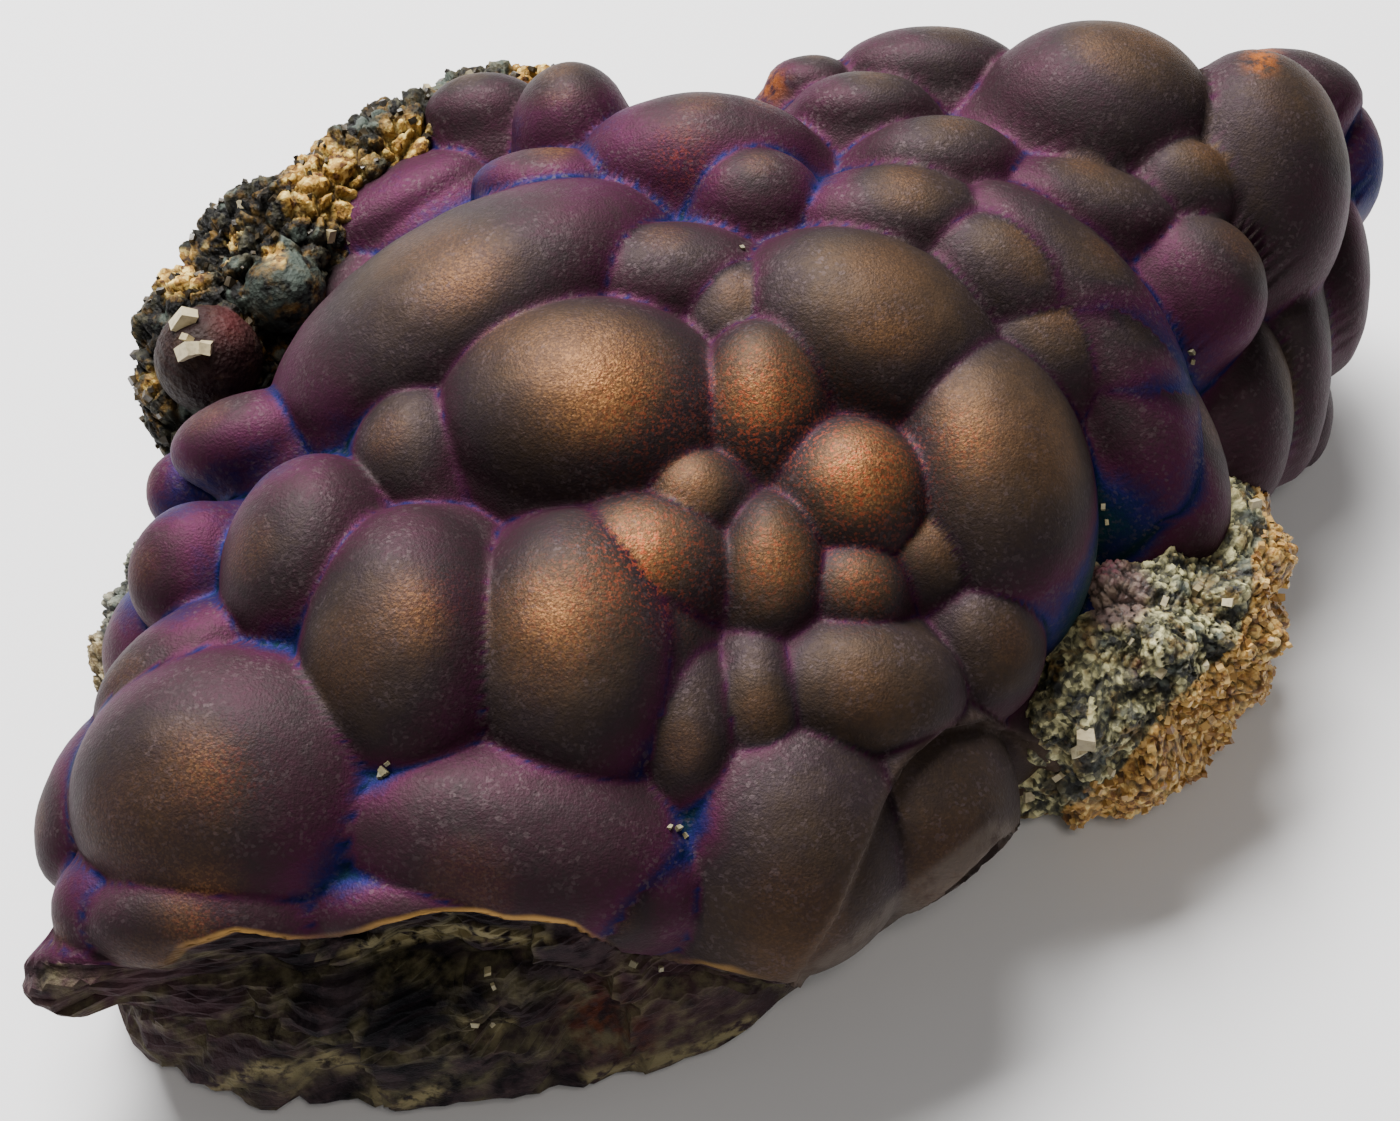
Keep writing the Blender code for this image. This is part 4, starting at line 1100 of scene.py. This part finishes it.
# Rocks: dark, middle and light grains, three stains, share of shiny grains and gloss
ROCK_COLOURS = {
    "ochre_matrix": ((0.007, 0.008, 0.008), (0.125, 0.118, 0.055), (0.62, 0.58, 0.30),
                     [(0.170, 0.062, 0.010), (0.50, 0.27, 0.060), (0.78, 0.56, 0.21)], 0.25, 0.4),
    "dark_matrix": ((0.0012, 0.001, 0.001), (0.006, 0.005, 0.0045), (0.045, 0.042, 0.026),
                    [(0.070, 0.026, 0.006), (0.38, 0.21, 0.042), (0.80, 0.60, 0.19)], 0.05, 0.12),
    "pale_matrix": ((0.006, 0.007, 0.007), (0.050, 0.052, 0.040), (0.28, 0.27, 0.20),
                    [(0.08, 0.05, 0.02), (0.25, 0.19, 0.09), (0.58, 0.50, 0.32)], 0.1, 0.3),
}
GREY_GREEN = (0.20, 0.25, 0.21)
# Crystals: darkest and lightest colour
CRYSTAL_COLOURS = {
    "block_grain": ((0.20, 0.090, 0.020), (0.66, 0.42, 0.13)),
    "crust_grain": ((0.006, 0.005, 0.004), (0.07, 0.05, 0.024)),
    "pale_crystal": ((0.30, 0.24, 0.13), (0.58, 0.51, 0.33)),
    "crease_crystal": ((0.12, 0.11, 0.07), (0.36, 0.31, 0.17)),
}


def ore_finish():
    """Tarnished ore: a metallic film whose colour follows its thickness, with painted shade in its seams,
    golden crowns with a painted highlight and a fine painted sparkle of glints, and dull laminated stone
    where the ore is broken, with painted shade in its hollows."""
    look = Finish("tarnished_ore_finish")
    broken = look.value("broken").step(0.35, 0.65)
    below = look.value("below")
    gold_glint_grain = look.cell_value(0.16)
    shift = (look.noise(1.6, 4.0, 0.62) - 0.5) * 0.18 + (look.cell_value(0.28) - 0.5) * 0.06
    shift = shift + (look.noise(6.0, 2.0) - 0.5) * 0.16
    colour = look.ramp(look.value("film") + shift, FILM_COLOURS)
    # Bluish tarnish and painted crease shade along the seams between lobes
    colour = look.mix(look.value("seam") * 0.7, colour, (0.30, 0.30, 0.45), "MULTIPLY")
    pale_speck = look.cell_value(0.26).step(0.70, 1.0) * look.noise(3.5, 3.0).step(0.35, 0.65)
    colour = look.mix(pale_speck * 0.40, colour, (0.085, 0.062, 0.066))
    # Gold of the crowns: thin tarnish with a painted highlight, and painted gold glints on it
    top = look.value("gold")
    colour = look.mix(top * 0.80, colour, (0.15, 0.066, 0.026))
    colour = look.mix(top * gold_glint_grain.step(0.35, 1.0) * 0.5, colour, (0.44, 0.21, 0.075))
    # Red speckle with painted red glints on the lit lobe tops
    ember = look.cell_value(0.20).step(0.55, 0.98) * look.value("ember")
    colour = look.mix(ember * 0.62, colour, (0.36, 0.062, 0.026))
    colour = look.mix(look.patchy("orange", 0.9, 3.0, 0.35, 0.60), colour, (0.30, 0.085, 0.012))
    colour = look.mix(look.value("shell_edge") * 0.45, colour, (0.070, 0.048, 0.036))

    wave = look.value("bed") * 12.6 + look.noise(1.2, 4.0, 0.6) * 5.0
    band = look.node("ShaderNodeMath", {"operation": "SINE"}, {0: wave})
    # Broken stone, darkened by painted shade in the hollows
    stone = look.ramp(look.noise(2.0, 5.0, 0.68) - look.value("pit") * 0.26, STONE_COLOURS)
    stone = look.mix(band.step(0.1, 0.9) * 0.35, stone, (0.014, 0.008, 0.011))
    stone = look.mix(look.noise(6.0, 3.0).step(0.50, 0.62) * 0.5, stone, (0.038, 0.026, 0.029))
    for name, size, detail, low, high, strength, tint in STONE_LAYERS:
        stone = look.mix(look.patchy(name, size, detail, low, high) * strength, stone, tint)
    colour = look.mix(broken, colour, stone)
    lip = below.step(-7.0, -1.0) * (1.0 - below.step(3.0, 8.0)) * look.value("lip_gold")
    colour = look.mix(lip * 0.9, colour, (0.42, 0.24, 0.070))
    colour = look.mix(look.patchy("bevel", 1.8, 4.0, 0.20, 0.60) * 0.7, colour, (0.105, 0.085, 0.072))

    rough = look.noise(0.5, 3.0) * 0.12 + 0.52 - top * 0.06 + broken * 0.03
    metal = top * 0.45 + 0.50 - broken * 0.40
    normal = look.bump([(look.noise(0.8, 4.0, 0.6), 0.045), (look.noise(0.20, 2.0, 0.5), 0.040),
                        (look.cells(0.4), 0.010), (broken * look.noise(1.7, 5.0, 0.66), 0.42)])
    return look.finish(colour=colour, rough=rough, metal=metal, normal=normal, shine=0.06)


def halfway(first, second):
    """The colour half way between two colours."""
    return [0.5 * one + 0.5 * other for one, other in zip(first, second)]


def rock_finish(slot):
    """Granular rock: each grain has its own shade, gaps between the grains are dark, and iron stains spread
    where the stain value is high."""
    dark, middle, light, stains, sparkle, shine = ROCK_COLOURS[slot]
    look = Finish(f"{slot}_finish")
    shade = look.value("grain") * 0.22 + look.value("fine") * 0.14 + look.cell_value(0.55) * 0.42
    shade = shade + look.noise(2.6, 5.0, 0.65) * 0.9 - 0.25
    colour = look.ramp(shade, [(0.10, dark), (0.38, middle), (0.66, light), (0.95, light)])
    mottle = look.noise(1.1, 4.0, 0.6) + (look.cell_value(0.5) - 0.5) * 0.3
    stained = look.ramp(mottle, list(zip((0.30, 0.50, 0.72), stains)))
    spread = (look.noise(2.4, 4.0, 0.6) * 1.1 + look.value("stain") - 1.05).step(-0.12, 0.22)
    olive = look.noise(1.9, 3.0, 0.6).step(0.50, 0.66) * 0.55
    colour = look.mix(olive, colour, halfway(middle, stains[1]))
    colour = look.mix(look.noise(2.2, 4.0, 0.6).step(0.52, 0.60) * 0.85, colour, dark)
    colour = look.mix(look.noise(3.0, 3.0, 0.5).step(0.56, 0.64) * 0.6, colour, halfway(dark, GREY_GREEN))
    colour = look.mix(spread, colour, stained)
    colour = look.mix(look.value("pink").step(0.3, 0.8) * 0.9, colour, (0.150, 0.094, 0.084))
    colour = look.mix(look.patchy("pink_red", 0.8, 3.0, 0.35, 0.60) * 0.8, colour, (0.16, 0.030, 0.055))
    colour = look.mix(look.value("ball_red") * 0.9, colour, (0.016, 0.006, 0.006))
    colour = look.mix(look.value("red_patch") * 0.8, colour, (0.065, 0.014, 0.015))
    colour = look.mix(look.patchy("ball_green", 1.4, 4.0, 0.35, 0.65) * 0.8, colour, (0.040, 0.052, 0.044))
    colour = look.mix(look.value("gap") * 0.8, colour, [part * 0.4 for part in dark])
    normal = look.bump([(look.noise(0.6, 5.0, 0.65), 0.20), (look.cells(0.4), 0.10)])
    rough = look.noise(0.8, 3.0) * 0.35 + 0.40 - look.cell_value(0.6).step(0.85, 1.0) * sparkle
    return look.finish(colour=colour, rough=rough, metal=0.0, normal=normal, shine=shine)


def crystal_finish(name):
    """Cleaved grains: each block has one shade between two colours, with a glassy or waxy face."""
    dark, light = CRYSTAL_COLOURS[name]
    look = Finish(f"{name}_finish")
    colour = look.mix(look.value("shade"), dark, light)
    colour = look.mix(look.noise(0.5, 3.0).step(0.45, 0.75) * 0.5, colour, [part * 0.5 for part in dark])
    normal = look.bump([(look.noise(0.3, 3.0), 0.03)])
    return look.finish(colour=colour, rough=look.noise(0.6, 2.0) * 0.3 + 0.25, metal=0.0, normal=normal)


def dress(item, material, slot, *nodes):
    """Gives a piece its material, and says what it rides on and stands for. The slot is not used."""
    item.data.materials.append(material)
    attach(item, "root")
    if nodes:
        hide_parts(*nodes)


def make_ore():
    """The ore's skin, with the values that its finish reads; returns its points and their normals."""
    directions, quads = cube_grid(FINE_GRID)
    grown = grow_ore(lifted(directions))
    points = grown["points"]
    quads = outward_faces(points, quads, grown["along"])
    normals = mesh_normals(points, quads)
    smooth = grown["broken"][quads].mean(-1) < 0.5
    pixels = seen_pixels(points)
    front = smoothstep(-0.2, 0.4, normals @ VIEW_BACK)
    whole = 1.0 - grown["broken"]
    # Golden crowns: thin tarnish, with a painted highlight at the spots where the surface faces the view
    gold = smoothstep(0.70, 0.95, grown["crown"]) * spot_share(pixels, GOLD_HIGHLIGHT_SPOTS) ** 1.6 * front
    gold = np.clip(gold + 0.10 * smoothstep(0.93, 0.998, grown["crown"]), 0.0, 1.0) * whole
    pale_rim = np.zeros(len(points))
    for path in PALE_RIM_PATHS:
        pale_rim = np.maximum(pale_rim, 1.0 - smoothstep(3.0, 11.0, path_distance(pixels, path)))
    bevel = 1.0 - smoothstep(8.0, 20.0, path_distance(pixels, BEVEL_PATH))
    tables = {"pit": HOLLOW_SHADE_SPOTS, "lip_gold": LIP_GOLD, "orange": ORANGE_SPOTS}
    values = {
        "film": ore_film(grown, normals), "gold": gold, "pale_rim": pale_rim * front, "bevel": bevel * front,
        "ember": spot_share(pixels, RED_GLINT_SPOTS) * front * whole,
        "warm": spot_share(pixels, WARM_SPOTS), "rust": spot_share(pixels, RUST_SPOTS),
        **{key: spot_share(pixels, table) * front for key, table in tables.items()},
        **{key: grown[key] for key in ("broken", "below", "bed", "seam", "ledge_edge", "shell_edge")},
    }
    item = build_mesh("ore_skin", points, quads, smooth, values)
    dress(item, ore_finish(), "tarnished_ore", "chalcopyrite_mass")
    return points, normals


def make_block():
    """The matrix block; returns its points, their normals and how ochre they are."""
    directions, quads = cube_grid(FINE_GRID * 3 // 4)
    points, values = grow_block(directions)
    quads = outward_faces(points, quads, directions)
    ochre = values.pop("ochre")
    pixels = seen_pixels(points)
    pink = spot_share(pixels, PINK_SPOTS)
    values.update(stain=ochre * (1.0 - pink), pink=pink, pink_red=spot_share(pixels, PINK_RED_SPOTS))
    item = build_mesh("block_rock", points, quads, True, values)
    dress(item, rock_finish("ochre_matrix"), "ochre_matrix", "matrix_block")
    return points, mesh_normals(points, quads), ochre


def make_vein(name, node, slot, path, radii, balls, seed, grid, grain):
    """A rock vein along a path; returns its points, their normals and the number of the ball they lie on."""
    directions, faces = vein_grid(*grid)
    points, values = grow_vein(directions, path, radii, balls, seed, *grain)
    faces = outward_faces(points, faces, points - np.array(path).mean(0))
    ball = values.pop("ball")
    pixels = seen_pixels(points)
    stain = np.where(ball > 0.5, 0.0, 0.12 + 0.30 * noise(points, 8.0, seed + 9))
    stain = np.clip(stain + spots(pixels, OCHRE_SPOTS), 0.0, 1.0)
    values.update(stain=stain, ball_red=ball == 1.0, ball_green=ball == 2.0,
                  red_patch=spots(pixels, RED_PATCHES) * (ball > 0.5))
    item = build_mesh(name, points, faces, True, values)
    dress(item, rock_finish(slot), slot, node)
    return points, mesh_normals(points, faces), ball


def add_crystals(name, points, normals, sizes, lift, seed, look, slot):
    """Cleaved blocks on the given points, each lifted by a share of its size."""
    places = points + normals * (sizes * lift)[:, None]
    flat, faces, shade = crystal_blocks(places, normals, sizes, seed)
    dress(build_mesh(name, flat, faces, False, {"shade": shade}), look, slot)


def scatter_grains(name, points, normals, chosen, count, size, seed, look, slot):
    """Small cleaved crystals on some of a surface's points, half sunk in it."""
    random = np.random.default_rng(seed)
    picks = random.choice(np.flatnonzero(chosen), count, replace=False)
    sizes = random.uniform(*size, count)
    add_crystals(name, points[picks], normals[picks], sizes, 0.12, seed + 1, look, slot)


def place_crystals(name, points, normals, table, seed, look, slot):
    """Single crystals, each on the seen point of a surface that lies nearest to its pixel."""
    facing = np.flatnonzero(normals @ VIEW_BACK > 0.15)
    pixels = seen_pixels(points[facing])
    rows = np.array(list(table.values()), float)
    picks = facing[[int(np.argmin(np.linalg.norm(pixels - row[:2], axis=-1))) for row in rows]]
    add_crystals(name, points[picks], normals[picks], rows[:, 2], 0.1, seed, look, slot)


def make_floor():
    """The pale floor of the stage, a square in the ground plane."""
    half = FLOOR_HALF
    mesh = bpy.data.meshes.new("floor")
    corners = [(-half, -half, 0), (half, -half, 0), (half, half, 0), (-half, half, 0)]
    mesh.from_pydata(corners, [], [(0, 1, 2, 3)])
    mesh.materials.append(Finish("pale_floor").finish(colour=FLOOR_COLOUR, rough=FLOOR_ROUGHNESS, metal=0.0))
    add_object("floor", mesh)


def make_light(name, place, size, power, colour):
    """A soft square light that faces the specimen; all places in metres."""
    data = bpy.data.lights.new(name, "AREA")
    data.shape = "SQUARE"
    data.size = size
    data.energy = power
    data.color = colour
    item = add_object(name, data)
    item.location = place
    direction = np.array(LIGHT_TARGET) - np.array(place)
    item.rotation_euler = Vector(direction).to_track_quat("-Z", "Y").to_euler()


def make_camera():
    """The photograph's view: a pinhole camera with its axes along the view's right, up and back."""
    data = bpy.data.cameras.new("camera")
    data.lens = LENS
    data.sensor_width = SENSOR
    data.sensor_fit = "HORIZONTAL"
    data.clip_start = 0.01
    data.shift_x = (VIEW_SIZE[0] / 2.0 - VIEW_CENTRE[0]) / VIEW_SIZE[0]
    item = add_object("camera", data)
    turn = np.stack([VIEW_RIGHT, VIEW_UP, VIEW_BACK], 1)
    rows = [[*row, value] for row, value in zip(turn, (VIEW_EYE - SHIFT) * METRE)]
    item.matrix_world = Matrix(rows + [[0, 0, 0, 1]])
    bpy.context.scene.camera = item


def light_scene():
    """An even grey surround and the lights."""
    world = bpy.data.worlds.new("studio")
    world.use_nodes = True
    background = world.node_tree.nodes["Background"]
    background.inputs["Color"].default_value = (*SURROUND_COLOUR, 1.0)
    background.inputs["Strength"].default_value = SURROUND_STRENGTH
    bpy.context.scene.world = world
    for name, settings in LIGHTS.items():
        make_light(name, *settings)


SHIFT = specimen_shift()
ORE = make_ore()
BLOCK_POINTS, BLOCK_NORMALS, BLOCK_OCHRE = make_block()
CRUST_POINTS, CRUST_NORMALS, CRUST_BALL = make_vein(
    "crust_rock", "matrix_crust", "dark_matrix", CRUST_PATH, CRUST_RADIUS, CRUST_BALLS, 61, CRUST_GRID,
    CRUST_GRAIN)
make_vein("rim_rock", "matrix_rim", "pale_matrix", RIM_PATH, RIM_RADIUS, {}, 65, RIM_GRID, RIM_GRAIN)
scatter_grains("block_grains", BLOCK_POINTS, BLOCK_NORMALS, BLOCK_OCHRE > 0.35, *BLOCK_SCATTER,
               crystal_finish("block_grain"), "ochre_matrix")
scatter_grains("crust_grains", CRUST_POINTS, CRUST_NORMALS, CRUST_BALL < 0.5, *CRUST_SCATTER,
               crystal_finish("crust_grain"), "dark_matrix")
PALE_LOOK = crystal_finish("pale_crystal")
CREASE_LOOK = crystal_finish("crease_crystal")
place_crystals("crease_crystals", *ORE, CREASE_CRYSTALS, 219, CREASE_LOOK, "pale_matrix")
place_crystals("crust_crystals", CRUST_POINTS, CRUST_NORMALS, CRUST_CRYSTALS, 221, PALE_LOOK, "dark_matrix")
place_crystals("block_crystals", BLOCK_POINTS, BLOCK_NORMALS, BLOCK_CRYSTALS, 223, PALE_LOOK, "ochre_matrix")
make_floor()
light_scene()
make_camera()
